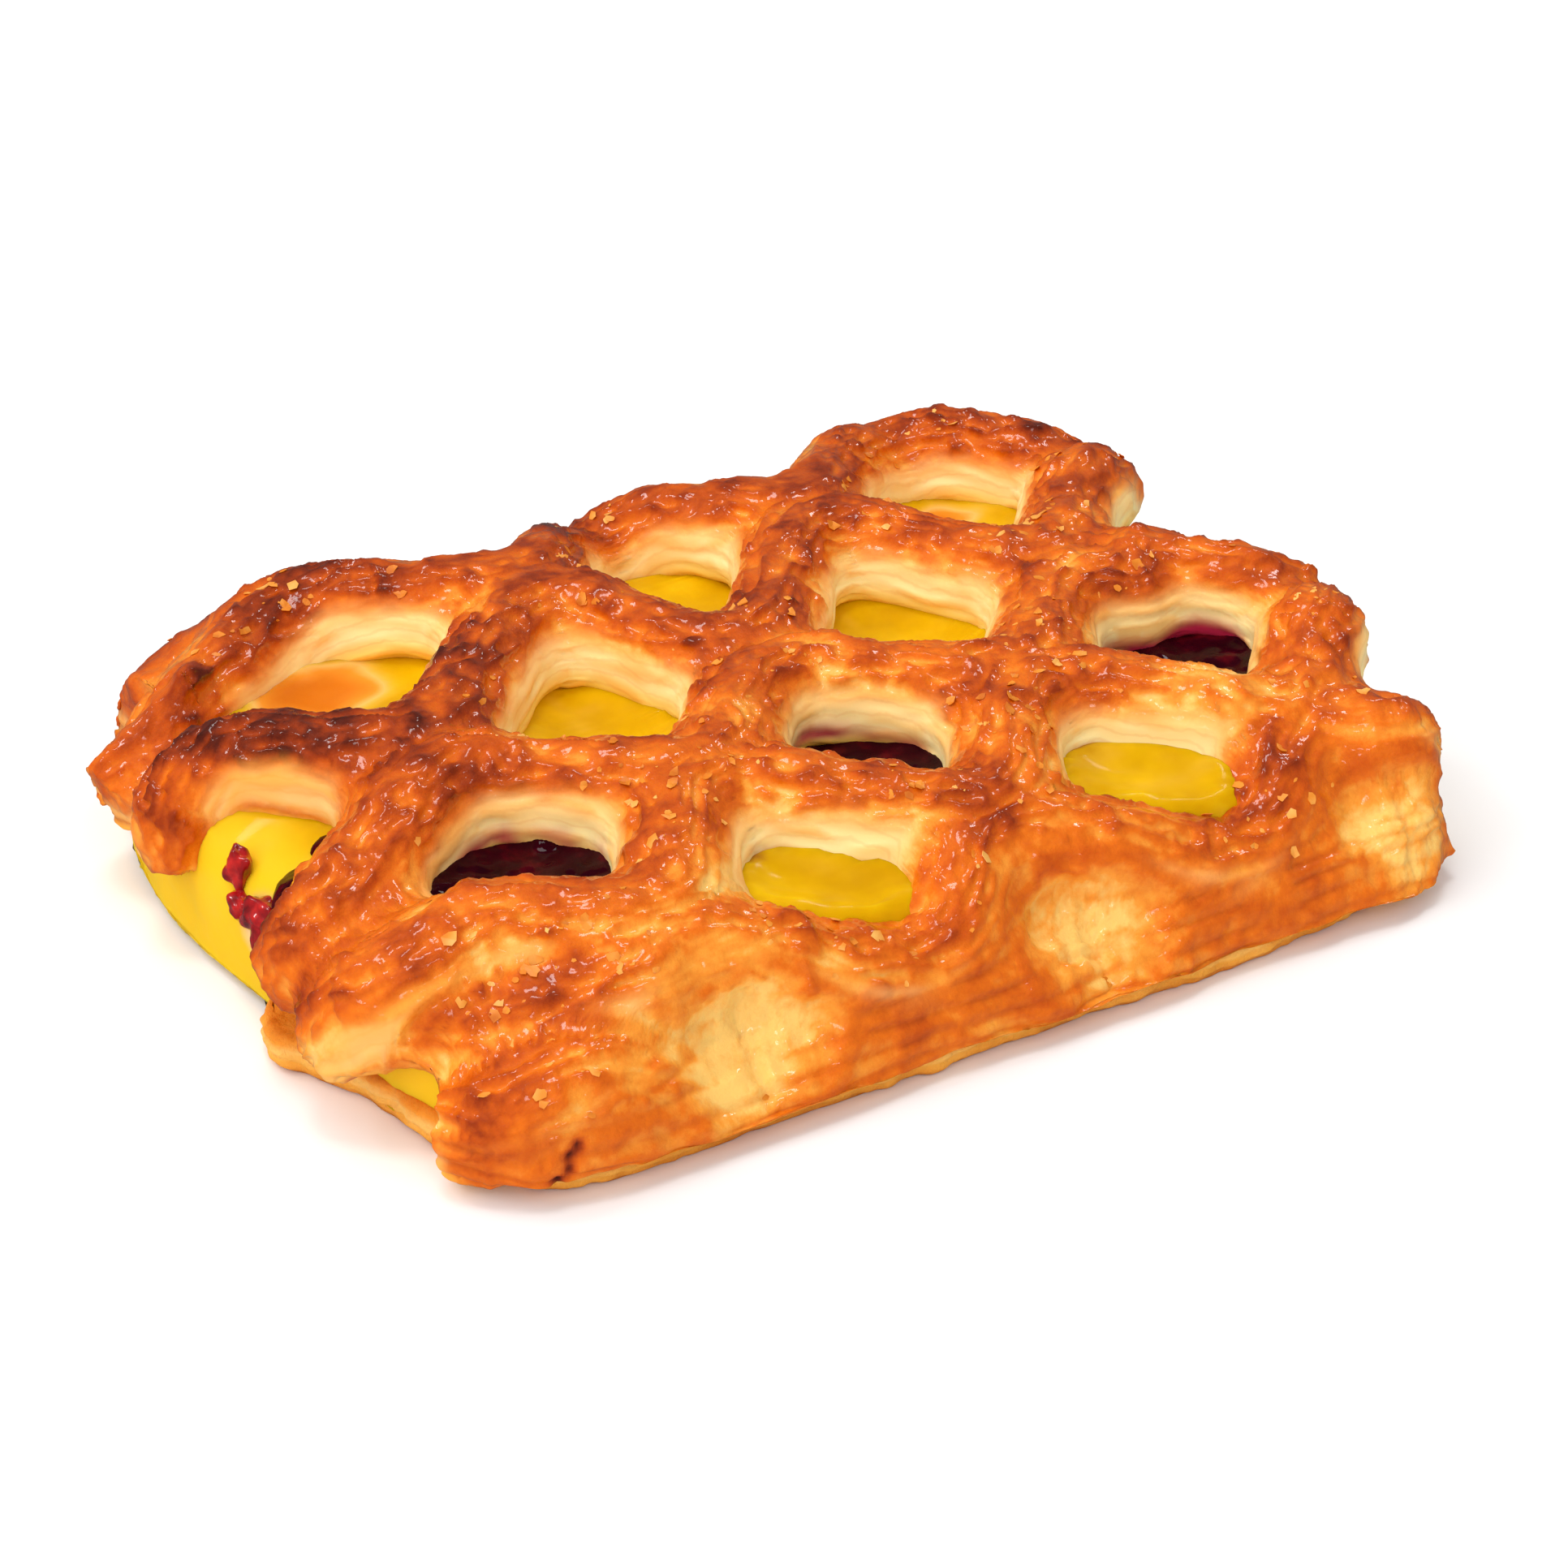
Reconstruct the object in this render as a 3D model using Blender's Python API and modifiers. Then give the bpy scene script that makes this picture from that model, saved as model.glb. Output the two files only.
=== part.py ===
"""A lattice pastry: a flat dough base, a mound of custard with a band of raspberry filling,
and a cut lattice sheet draped over both and sealed along the two long edges.

The pastry lies along X, with its front edge at -Y. The origin is on the surface that it stands
on, under the middle of its outline. Lengths are in metres. Every shape is worked out about the
middle of the base sheet, and the whole pastry is then moved by CENTRING.
"""

import math

import bmesh
import bpy
import numpy as np
from mathutils import Vector

# Driving dimensions
BASE_LENGTH = 0.1230
BASE_WIDTH = 0.1050
BASE_THICK = 0.0042
CROWN_HEIGHT = 0.0264
BACK_LIFT = 0.045
EDGE_POWER = {"front": 4.0, "back": 7.0}
END_DROOP = 0.0018
PITCH = 0.0415
STRAND_WIDTH = 0.0120
STRAND_THICK = 0.0108
SHEET_THICK = 0.0046
GAP = 0.0003
CENTRING = (0.0009, 0.0, 0.0)

# The rows of slits in the lattice, counted from the front: where each lies on the sheet,
# how far it is shifted sideways, and half the width of the bond between two of its slits
ROW_Y = (-0.0521, -0.0505, -0.0395, -0.0208, -0.0022, 0.0240, 0.0470, 0.0521)
ROW_SHIFT = (0.0110, 0.0110, 0.0060, 0.0010, -0.0010, 0.0010, 0.0030, 0.0030)
HALF_BOND = (0.0, 0.0010, 0.0022, 0.0018, 0.0038, 0.0030, 0.0025, 0.0)
BOND_PULL = {(5, 1): 0.0040}
ROW_SLANT = 0.03
LAST_COLUMN = 3
STEPS_PER_COLUMN = 8
THREAD_REACH = -0.0430
THREAD_POWER = 2.6

# Where the top of the sheet has sunk: the X and Y of the place, its half size, and how far
SAGS = (
    ((-0.0030, 0.0460), (0.0110, 0.0110), 0.0040),
    ((0.0180, 0.0460), (0.0100, 0.0120), 0.0012),
    ((0.0290, 0.0440), (0.0050, 0.0100), 0.0012),
)

# The middles of the threads' cut ends, from the last bond outwards
LEFT_TIPS = {
    5: ((-0.0530, 0.0326, 0.0166), (-0.0600, 0.0296, 0.0130), (-0.0662, 0.0286, 0.0104)),
    4: ((-0.0485, 0.0035, 0.0205), (-0.0555, 0.0125, 0.0190), (-0.0620, 0.0145, 0.0150),
        (-0.0644, 0.0115, 0.0088)),
    3: ((-0.0520, -0.0120, 0.0182), (-0.0605, -0.0170, 0.0145), (-0.0665, -0.0150, 0.0098)),
    2: ((-0.0500, -0.0300, 0.0168), (-0.0590, -0.0295, 0.0140), (-0.0638, -0.0275, 0.0105),
        (-0.0652, -0.0262, 0.0072)),
    1: ((-0.0480, -0.0385, 0.0108), (-0.0570, -0.0370, 0.0095)),
    6: ((-0.0530, 0.0455, 0.0110),),
    0: ((-0.0480, -0.0465, 0.0080), (-0.0565, -0.0445, 0.0060), (-0.0595, -0.0410, 0.0052)),
}
RIGHT_TIPS = {
    6: ((0.0610, 0.0445, 0.0100),),
    5: ((0.0580, 0.0318, 0.0200), (0.0655, 0.0262, 0.0176)),
    4: ((0.0580, 0.0190, 0.0212), (0.0655, 0.0228, 0.0184)),
    3: ((0.0500, -0.0038, 0.0210), (0.0572, -0.0105, 0.0204), (0.0655, -0.0155, 0.0182)),
    2: ((0.0590, -0.0245, 0.0195), (0.0645, -0.0210, 0.0170)),
    1: ((0.0560, -0.0415, 0.0145), (0.0600, -0.0405, 0.0128)),
    0: ((0.0540, -0.0460, 0.0080), (0.0575, -0.0450, 0.0070)),
}
TIP_RADIUS = 0.62

# Dimples where the slits of a sealed edge stayed shut: row, first column, number of them
DIMPLE_ROWS = ((1, 0.5, 3), (6, 0.0, 4))
DIMPLE_DEPTH = {1: 0.0030, 6: 0.0070}
DIMPLE_HALF = {1: (0.0085, 0.0060), 6: (0.0120, 0.0095)}
DIMPLE_FROM_ROW = {1: 0.0, 6: -0.0070}
SEAM_ARC = 0.0050
SEALED_COLUMNS = {1: (0.02, 2.75), 5: (0.12, 2.95)}
SEALED_DEPTH = 0.0015

# The filling
MOUND_HALF = (0.0620, 0.0458, 0.0165)
MOUND_POWER = 5.0
BLUNT_END = {"left": 0.5, "right": 0.35}
NOSE_Y = 0.0125
NOSE_HALF_WIDTH = 0.0200
NOSE_REACH = 0.0024
BASE_CORNER_POWER = 6.0
BASE_RECESS = 0.0060
BASE_TONGUE = 0.0060
BASE_TONGUE_Y = -0.0130
BASE_TONGUE_HALF_WIDTH = 0.0100
BASE_LIP = 0.0030
BASE_LIP_X = -0.0540
BASE_LIP_HALF_WIDTH = 0.0100
FLOOR_CLEARANCE = 0.0010
BERRY_LEVEL = 0.0124
BERRY_HALF_WIDTH = 0.0100
BERRY_HALF_HEIGHT = 0.0044
BERRY_POWER = 3.0
BERRY_TIP_RADIUS = 0.45
BERRY_PATH = ((0.0600, 0.0), (0.0320, 0.0010), (0.0020, 0.0), (-0.0280, -0.0005),
              (-0.0440, 0.0020), (-0.0520, 0.0110), (-0.0560, 0.0190))
BERRY_LUMPS = (((-0.0592, 0.0020, 0.0100), 0.0036), ((-0.0592, -0.0045, 0.0080), 0.0042))

# How finely the shapes are made
PROFILE_POINTS = 400
THREAD_OUTLINE_POINTS = 20
BASE_OUTLINE_POINTS = 72
MOUND_FACES = (48, 24)
SEALED_FACES = (60, 12)
MERGE_DISTANCE = 0.00002
SOFTENING_STEPS = 4
LATTICE_VOXEL = 0.0012
LATTICE_SHARE_KEPT = 0.115
BERRY_VOXEL = 0.0013
BERRY_SHARE_KEPT = 0.13
BERRY_GAP = 0.0005


def profile_table():
    """The top of the lattice sheet across the pastry, as points with their arc length."""
    angle = np.linspace(math.pi, 0.0, PROFILE_POINTS)
    power = np.where(angle > math.pi / 2, EDGE_POWER["front"], EDGE_POWER["back"])
    y = BASE_WIDTH / 2 * np.sign(np.cos(angle)) * np.abs(np.cos(angle)) ** (2 / power)
    z = (CROWN_HEIGHT + BACK_LIFT * y) * np.sin(angle)
    arc = np.concatenate(([0.0], np.cumsum(np.hypot(np.diff(y), np.diff(z)))))
    return arc, y, z


ARC, PROFILE_Y, PROFILE_Z = profile_table()
ROW_ARC = tuple(float(np.interp(y, PROFILE_Y, ARC)) for y in ROW_Y)


def sheet_slope(arc):
    """The angle of the sheet across the pastry, positive where it rises towards the back."""
    reach = 0.002
    low, high = max(arc - reach, 0.0), min(arc + reach, ARC[-1])
    rise = np.interp(high, ARC, PROFILE_Z) - np.interp(low, ARC, PROFILE_Z)
    run = np.interp(high, ARC, PROFILE_Y) - np.interp(low, ARC, PROFILE_Y)
    return math.atan2(rise, run)


def sheet_point(x, arc, depth=0.0):
    """The point at x and at this arc length on the sheet's top, moved inwards by depth."""
    y = float(np.interp(arc, ARC, PROFILE_Y))
    z = float(np.interp(arc, ARC, PROFILE_Z))
    slope = sheet_slope(arc)
    share_of_height = z / CROWN_HEIGHT
    droop = END_DROOP * (2 * abs(x) / BASE_LENGTH) ** 4 * share_of_height
    for (sag_x, sag_y), (half_x, half_y), sag in SAGS:
        droop += sag * math.exp(-(((x - sag_x) / half_x) ** 2) - ((y - sag_y) / half_y) ** 2)
    return Vector((
        x,
        y + ROW_SLANT * x * share_of_height + depth * math.sin(slope),
        z - droop - depth * math.cos(slope),
    ))


def row_shift(row, column):
    """How far the bonds of a row lie to the right of a regular lattice at this column."""
    shift = ROW_SHIFT[row]
    for (pulled_row, pulled_column), pull in BOND_PULL.items():
        away = abs(column - pulled_column)
        if row == pulled_row and away < 1.0:
            shift += pull * math.cos(math.pi / 2 * away) ** 2
    return shift


def thread_place(row, column):
    """Where the thread between two rows of slits runs at this column: its X and arc length.

    The thread swings towards each of the rows where that row has a bond, so it is a wave.
    """
    swing = 0.5 - 0.5 * math.cos(2 * math.pi * column)
    share = swing if row % 2 else 1.0 - swing
    low = ROW_ARC[row] + HALF_BOND[row]
    high = ROW_ARC[row + 1] - HALF_BOND[row + 1]
    shift = row_shift(row, column) * (1 - share) + row_shift(row + 1, column) * share
    return (column - LAST_COLUMN / 2) * PITCH + shift, low + (high - low) * share


def thread_path(row):
    """The middle of one dough thread, from its left tip to its right tip."""
    path = [Vector(tip) for tip in reversed(LEFT_TIPS[row])]
    last_x = RIGHT_TIPS[row][0][0] - PITCH / STEPS_PER_COLUMN / 2
    for step in range(LAST_COLUMN * STEPS_PER_COLUMN + 1):
        x, arc = thread_place(row, step / STEPS_PER_COLUMN)
        if THREAD_REACH < x < last_x:
            path.append(sheet_point(x, arc, STRAND_THICK / 2))
    return path + [Vector(tip) for tip in RIGHT_TIPS[row]]


def material(name, colour, roughness):
    """A plain surface of this linear colour."""
    made = bpy.data.materials.new(name)
    made.use_nodes = True
    shader = made.node_tree.nodes["Principled BSDF"]
    shader.inputs["Base Color"].default_value = (*colour, 1.0)
    shader.inputs["Roughness"].default_value = roughness
    shader.inputs["Metallic"].default_value = 0.0
    made.diffuse_color = (*colour, 1.0)
    return made


def add_object(name, data, collection):
    """A new object for a mesh or a curve, put in this collection."""
    made = bpy.data.objects.new(name, data)
    collection.objects.link(made)
    return made


def hide(made):
    """Marks a cutter or a guide as something that isn't part of the pastry."""
    made.hide_render = True
    made.display_type = "WIRE"
    return made


def rounded_profile(name, half_width, half_height, power, collection):
    """A closed outline between an ellipse and a rectangle, to be swept along a path."""
    outline = bpy.data.curves.new(name, "CURVE")
    outline.dimensions = "2D"
    spline = outline.splines.new("POLY")
    spline.points.add(THREAD_OUTLINE_POINTS - 1)
    spline.use_cyclic_u = True
    for number, point in enumerate(spline.points):
        turn = 2 * math.pi * number / THREAD_OUTLINE_POINTS
        across, up = math.cos(turn), math.sin(turn)
        reach = (abs(across) ** power + abs(up) ** power) ** (-1 / power)
        point.co = (across * reach * half_width, up * reach * half_height, 0.0, 1.0)
    return hide(add_object(name, outline, collection))


def sweep(name, path, profile, tip_radius, collection):
    """A closed mesh: the profile swept along the path, thinner at its two ends."""
    line = bpy.data.curves.new(name, "CURVE")
    line.dimensions = "3D"
    line.twist_mode = "Z_UP"
    line.bevel_mode = "OBJECT"
    line.bevel_object = profile
    line.use_fill_caps = True
    line.resolution_u = 3
    spline = line.splines.new("BEZIER")
    spline.bezier_points.add(len(path) - 1)
    for number, (point, place) in enumerate(zip(spline.bezier_points, path)):
        point.co = place
        point.handle_left_type = point.handle_right_type = "AUTO"
        point.radius = tip_radius if number in (0, len(path) - 1) else 1.0
    guide = add_object(name + "_line", line, collection)
    bpy.context.view_layer.update()
    graph = bpy.context.evaluated_depsgraph_get()
    mesh = bpy.data.meshes.new_from_object(guide.evaluated_get(graph))
    bpy.data.objects.remove(guide)
    shape = bmesh.new()
    shape.from_mesh(mesh)
    bmesh.ops.remove_doubles(shape, verts=shape.verts, dist=MERGE_DISTANCE)
    bmesh.ops.recalc_face_normals(shape, faces=shape.faces)
    shape.to_mesh(mesh)
    shape.free()
    return add_object(name, mesh, collection)


def mesh_object(name, shape, collection):
    """Turns a bmesh into an object with smooth faces."""
    mesh = bpy.data.meshes.new(name)
    bmesh.ops.recalc_face_normals(shape, faces=shape.faces)
    shape.to_mesh(mesh)
    shape.free()
    mesh.shade_smooth()
    return add_object(name, mesh, collection)


def base_sheet(name, grow, collection):
    """The flat bottom sheet: a rounded rectangle, drawn in at the left under the custard.

    It sticks out beside that place, and again as a lip at the left end of the front edge.
    """
    outline = bpy.data.curves.new(name, "CURVE")
    outline.dimensions = "2D"
    outline.fill_mode = "BOTH"
    outline.extrude = BASE_THICK / 2 + grow
    spline = outline.splines.new("POLY")
    spline.points.add(BASE_OUTLINE_POINTS - 1)
    spline.use_cyclic_u = True
    for number, point in enumerate(spline.points):
        turn = 2 * math.pi * number / BASE_OUTLINE_POINTS
        across, up = math.cos(turn), math.sin(turn)
        corner = abs(across) ** BASE_CORNER_POWER + abs(up) ** BASE_CORNER_POWER
        reach = corner ** (-1 / BASE_CORNER_POWER)
        x = across * reach * (BASE_LENGTH / 2 + grow)
        y = up * reach * (BASE_WIDTH / 2 + grow)
        if x < 0 and abs(x) > BASE_LENGTH / 4:
            x += BASE_RECESS * math.exp(-(((y - NOSE_Y) / NOSE_HALF_WIDTH) ** 4))
            x -= BASE_TONGUE * math.exp(-(((y - BASE_TONGUE_Y) / BASE_TONGUE_HALF_WIDTH) ** 2))
        if y < 0:
            y -= BASE_LIP * math.exp(-(((x - BASE_LIP_X) / BASE_LIP_HALF_WIDTH) ** 2))
        point.co = (x, y, 0.0, 1.0)
    guide = add_object(name + "_outline", outline, collection)
    guide.location.z = BASE_THICK / 2
    bpy.context.view_layer.update()
    graph = bpy.context.evaluated_depsgraph_get()
    mesh = bpy.data.meshes.new_from_object(guide.evaluated_get(graph))
    mesh.transform(guide.matrix_world)
    bpy.data.objects.remove(guide)
    shape = bmesh.new()
    shape.from_mesh(mesh)
    bmesh.ops.remove_doubles(shape, verts=shape.verts, dist=MERGE_DISTANCE)
    return mesh_object(name, shape, collection)


def mound(name, grow, collection):
    """The custard heap: a ball flattened towards a box, with a nose at its left end."""
    shape = bmesh.new()
    around, upwards = MOUND_FACES
    bmesh.ops.create_uvsphere(shape, u_segments=around, v_segments=upwards, radius=1.0)
    half_x, half_y, half_z = (half + grow for half in MOUND_HALF)
    for vert in shape.verts:
        reach = sum(abs(part) ** MOUND_POWER for part in vert.co) ** (-1 / MOUND_POWER)
        share_x, share_y, share_z = (part * reach for part in vert.co)
        blunt = BLUNT_END["left" if share_x < 0 else "right"]
        x = math.copysign(abs(share_x) ** blunt, share_x) * half_x
        y = share_y * half_y
        if x < 0:
            nose = NOSE_REACH * math.exp(-(((y - NOSE_Y) / NOSE_HALF_WIDTH) ** 2))
            x -= nose * (abs(x) / half_x) ** 3
        vert.co = (x, y, share_z * half_z)
    return mesh_object(name, shape, collection)


def ball(name, centre, radius, collection):
    """A small round lump."""
    shape = bmesh.new()
    bmesh.ops.create_icosphere(shape, subdivisions=2, radius=radius)
    bmesh.ops.translate(shape, verts=shape.verts, vec=centre)
    return mesh_object(name, shape, collection)


def berry_shapes(collection):
    """The raspberry band under the middle row of slits, and the lumps that it ends in."""
    profile = rounded_profile(
        "berry_profile", BERRY_HALF_WIDTH, BERRY_HALF_HEIGHT, BERRY_POWER, collection
    )
    path = [Vector((x, ROW_Y[3] + y, BERRY_LEVEL)) for x, y in BERRY_PATH]
    shapes = [sweep("berry_band", path, profile, BERRY_TIP_RADIUS, collection)]
    for number, (centre, radius) in enumerate(BERRY_LUMPS):
        shapes.append(ball(f"berry_lump_{number}", centre, radius, collection))
    return shapes


def swollen_copy(name, made, grow, collection):
    """The finished shape of an object, with its surface moved outwards by grow."""
    bpy.context.view_layer.update()
    graph = bpy.context.evaluated_depsgraph_get()
    mesh = bpy.data.meshes.new_from_object(made.evaluated_get(graph))
    copy = add_object(name, mesh, collection)
    swell = copy.modifiers.new("Swell", "DISPLACE")
    swell.strength = grow
    swell.mid_level = 0.0
    return copy


def sealed_edge(name, row, seam_arc, collection):
    """The stretch of the sheet between a seam and a thread, as a closed shell."""
    first, last = SEALED_COLUMNS[row]
    shape = bmesh.new()
    along, across = SEALED_FACES
    bmesh.ops.create_grid(shape, x_segments=along, y_segments=across, size=0.5)
    for vert in shape.verts:
        column = first + (last - first) * (vert.co.x + 0.5)
        x, thread_arc = thread_place(row, column)
        low, high = sorted((seam_arc, thread_arc))
        arc = low + (high - low) * (vert.co.y + 0.5)
        vert.co = sheet_point(x, arc, dimple_depth(x, arc) + SEALED_DEPTH)
    made = mesh_object(name, shape, collection)
    shell = made.modifiers.new("Thickness", "SOLIDIFY")
    shell.thickness = SHEET_THICK
    shell.offset = -1.0
    return made


def dimple_depth(x, arc):
    """How far the sheet is pressed in at this place by the shut slits of its two edges."""
    depth = 0.0
    for row, first, count in DIMPLE_ROWS:
        for number in range(count):
            middle = (first + number - LAST_COLUMN / 2) * PITCH + ROW_SHIFT[row]
            along = (x - middle) / DIMPLE_HALF[row][0]
            across = (arc - ROW_ARC[row] - DIMPLE_FROM_ROW[row]) / DIMPLE_HALF[row][1]
            depth += DIMPLE_DEPTH[row] * math.exp(-(along ** 2) - across ** 2)
    return depth


def join(name, pieces, collection):
    """One object that holds the evaluated meshes of all these pieces, which are removed."""
    shape = bmesh.new()
    bpy.context.view_layer.update()
    graph = bpy.context.evaluated_depsgraph_get()
    for piece in pieces:
        mesh = bpy.data.meshes.new_from_object(piece.evaluated_get(graph))
        shape.from_mesh(mesh)
        bpy.data.meshes.remove(mesh)
    for piece in pieces:
        bpy.data.objects.remove(piece)
    mesh = bpy.data.meshes.new(name)
    shape.to_mesh(mesh)
    shape.free()
    return add_object(name, mesh, collection)


def fuse(made, voxel, share_kept):
    """Melts the pieces of an object into one rounded body, with fewer faces."""
    remesh = made.modifiers.new("Fuse", "REMESH")
    remesh.mode = "VOXEL"
    remesh.voxel_size = voxel
    remesh.use_smooth_shade = True
    soften = made.modifiers.new("Soften", "SMOOTH")
    soften.factor = 0.5
    soften.iterations = SOFTENING_STEPS
    thin_out = made.modifiers.new("Fewer faces", "DECIMATE")
    thin_out.ratio = share_kept


def cut(made, cutter, solver="EXACT"):
    """Takes a cutter's space out of an object."""
    boolean = made.modifiers.new("Cut by " + cutter.name, "BOOLEAN")
    boolean.operation = "DIFFERENCE"
    boolean.object = cutter
    boolean.solver = solver


def dress(made, surface):
    """Gives an object its material."""
    made.data.materials.clear()
    made.data.materials.append(surface)


def floor_block(name, collection):
    """The space under the pastry, which nothing may hang into."""
    shape = bmesh.new()
    bmesh.ops.create_cube(shape, size=1.0)
    depth = BASE_LENGTH / 4
    bmesh.ops.scale(shape, verts=shape.verts, vec=(2 * BASE_LENGTH, 2 * BASE_WIDTH, depth))
    bmesh.ops.translate(shape, verts=shape.verts, vec=(0.0, 0.0, FLOOR_CLEARANCE - depth / 2))
    return hide(mesh_object(name, shape, collection))


def build():
    """Makes the pastry: base, custard, raspberry and lattice."""
    for old in list(bpy.data.objects):
        bpy.data.objects.remove(old)
    pastry = bpy.data.collections.new("LatticePastry")
    cutters = bpy.data.collections.new("Cutters")
    for collection in (pastry, cutters):
        bpy.context.scene.collection.children.link(collection)

    base_cutter = hide(base_sheet("base_cutter", GAP, cutters))
    mound_cutter = hide(mound("mound_cutter", GAP, cutters))

    base = base_sheet("base", 0.0, pastry)
    dress(base, material("base_crust", (0.60, 0.29, 0.07), 0.6))

    berry = join("raspberry", berry_shapes(cutters), pastry)
    fuse(berry, BERRY_VOXEL, BERRY_SHARE_KEPT)
    dress(berry, material("raspberry_filling", (0.12, 0.005, 0.012), 0.2))
    berry_cutter = hide(swollen_copy("berry_cutter", berry, BERRY_GAP, cutters))

    custard = mound("custard", 0.0, pastry)
    floor_cutter = floor_block("floor_cutter", cutters)
    for cutter in (floor_cutter, base_cutter, berry_cutter):
        cut(custard, cutter, "MANIFOLD")
    dress(custard, material("custard_filling", (0.80, 0.52, 0.03), 0.3))

    profile = rounded_profile(
        "thread_profile", STRAND_WIDTH / 2, STRAND_THICK / 2, THREAD_POWER, cutters
    )
    pieces = [
        sweep(f"thread_{row}", thread_path(row), profile, TIP_RADIUS, cutters)
        for row in range(len(ROW_Y) - 1)
    ]
    pieces.append(sealed_edge("front_edge", 1, SEAM_ARC, cutters))
    pieces.append(sealed_edge("back_edge", 5, float(ARC[-1]) - SEAM_ARC, cutters))
    lattice = join("lattice", pieces, pastry)
    fuse(lattice, LATTICE_VOXEL, LATTICE_SHARE_KEPT)
    for cutter in (base_cutter, mound_cutter, berry_cutter, floor_cutter):
        cut(lattice, cutter, "MANIFOLD")
    dress(lattice, material("lattice_crust", (0.55, 0.20, 0.04), 0.4))

    for collection in (pastry, cutters):
        for made in collection.objects:
            made.location = Vector(CENTRING)


build()
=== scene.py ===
# %% [markdown]
# # A lattice pastry with custard and raspberry
#
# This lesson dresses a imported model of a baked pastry. The model brings the sizes and the places
# of four pieces: a flat bottom sheet, a mound of custard, a band of raspberry filling, and a slit
# sheet of dough draped over them as a lattice. Each gets a detailed piece that replaces it.
#
# Baked dough is never smooth. Its crust wrinkles as it dries, its cut sides show the layers that
# the butter kept apart, and its colour follows the heat: pale in the valleys, mahogany on the
# ridges. So most of this lesson is about relief that is really in the mesh, and about masks,
# numbers stored on the mesh, that tell the material where the dough is browned and where it is cut.

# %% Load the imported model
import math

import bmesh
import bpy
import numpy as np
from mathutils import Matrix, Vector
from mathutils.kdtree import KDTree


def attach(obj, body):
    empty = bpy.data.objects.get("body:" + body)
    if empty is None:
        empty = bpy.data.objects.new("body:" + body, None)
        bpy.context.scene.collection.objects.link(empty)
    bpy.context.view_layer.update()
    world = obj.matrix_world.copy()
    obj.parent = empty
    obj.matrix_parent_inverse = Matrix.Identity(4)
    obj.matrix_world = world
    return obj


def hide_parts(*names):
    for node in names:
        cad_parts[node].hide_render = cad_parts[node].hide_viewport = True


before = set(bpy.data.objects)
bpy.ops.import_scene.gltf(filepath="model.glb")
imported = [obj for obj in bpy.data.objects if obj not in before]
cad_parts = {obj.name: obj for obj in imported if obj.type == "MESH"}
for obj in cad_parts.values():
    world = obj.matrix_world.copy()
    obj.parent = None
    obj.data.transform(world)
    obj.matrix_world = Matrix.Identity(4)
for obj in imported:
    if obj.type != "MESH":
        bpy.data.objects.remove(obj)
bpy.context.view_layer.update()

# %% [markdown]
# ## Colours and nodes
#
# Colours are written as they are picked from a picture, as sRGB hex values, and one function
# turns them into the linear values that a shader works with. Another adds a node to a material
# with its settings and its links. A Mix node in colour mode has several sockets of one name, so
# they go by number: its factor is in0, its two colours are in6 and in7, and output 2 is the result.

# %% Colour and node helpers
MM = 0.001


def linear(hex_colour):
    """An sRGB hex colour as the linear RGBA that a socket takes."""
    parts = [int(hex_colour[i:i + 2], 16) / 255 for i in (1, 3, 5)]
    return [p / 12.92 if p < 0.04045 else ((p + 0.055) / 1.055) ** 2.4 for p in parts] + [1.0]


def add(tree, kind, settings=None, **links):
    """A new node. A setting is a property, a socket's value or a ramp's stops; a link names a
    socket, or its number as in0, and the output that feeds it."""
    node = tree.nodes.new("ShaderNode" + kind)
    for key, value in (settings or {}).items():
        if key == "stops":
            marks = node.color_ramp.elements
            while len(marks) < len(value):
                marks.new(0.5)
            for mark, (place, colour) in zip(marks, value):
                mark.position, mark.color = place, linear(colour)
        elif key[:2] == "in" and key[2:].isdigit():
            node.inputs[int(key[2:])].default_value = value
        elif key in node.inputs:
            node.inputs[key].default_value = value
        else:
            setattr(node, key, value)
    for key, source in links.items():
        number = int(key[2:]) if key[:2] == "in" and key[2:].isdigit() else key
        tree.links.new(source, node.inputs[number])
    return node


print("pale crust in linear light:", [round(c, 3) for c in linear("#e8b45c")])

# %% [markdown]
# ## Noise and smooth steps
#
# Noise for many points at once is a block of random numbers, read with smooth steps between its
# cells, which is much quicker than asking Blender's noise for each point by itself. A smooth step
# and a hill turn a distance into a mask: the step is 0 on one side and 1 on the other, and the
# hill is 1 at its middle and falls away on both sides.

# %% Helpers that shape masks and relief
NOISE_CELLS = 32


def noise(points, cell, seed=0):
    """Smooth noise from -1 to 1 at these points; cell is the size of its grains, in metres."""
    table = np.random.default_rng(seed).uniform(-1, 1, (NOISE_CELLS,) * 3)
    place = np.asarray(points) / cell + 1000.5
    low = np.floor(place).astype(int)
    part = place - low
    part = part * part * (3 - 2 * part)
    total = np.zeros(len(place))
    for corner in range(8):
        step = np.array([corner & 1, corner >> 1 & 1, corner >> 2 & 1])
        weight = np.prod(np.where(step, part, 1 - part), axis=1)
        total += weight * table[tuple(((low + step) % NOISE_CELLS).T)]
    return total


def smoothstep(low, high, value):
    """0 up to low, 1 from high on, and a smooth rise between; a fall where low is the larger."""
    share = np.clip((value - low) / (high - low), 0, 1)
    return share * share * (3 - 2 * share)


def hill(value, middle, half_width):
    """1 at the middle, and falling smoothly to 0 on both sides."""
    return np.exp(-((value - middle) / half_width) ** 2)


print("a step at its middle:", smoothstep(0, 1, 0.5), "and a hill at its half width:",
      round(float(hill(1, 0, 1)), 2))

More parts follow.
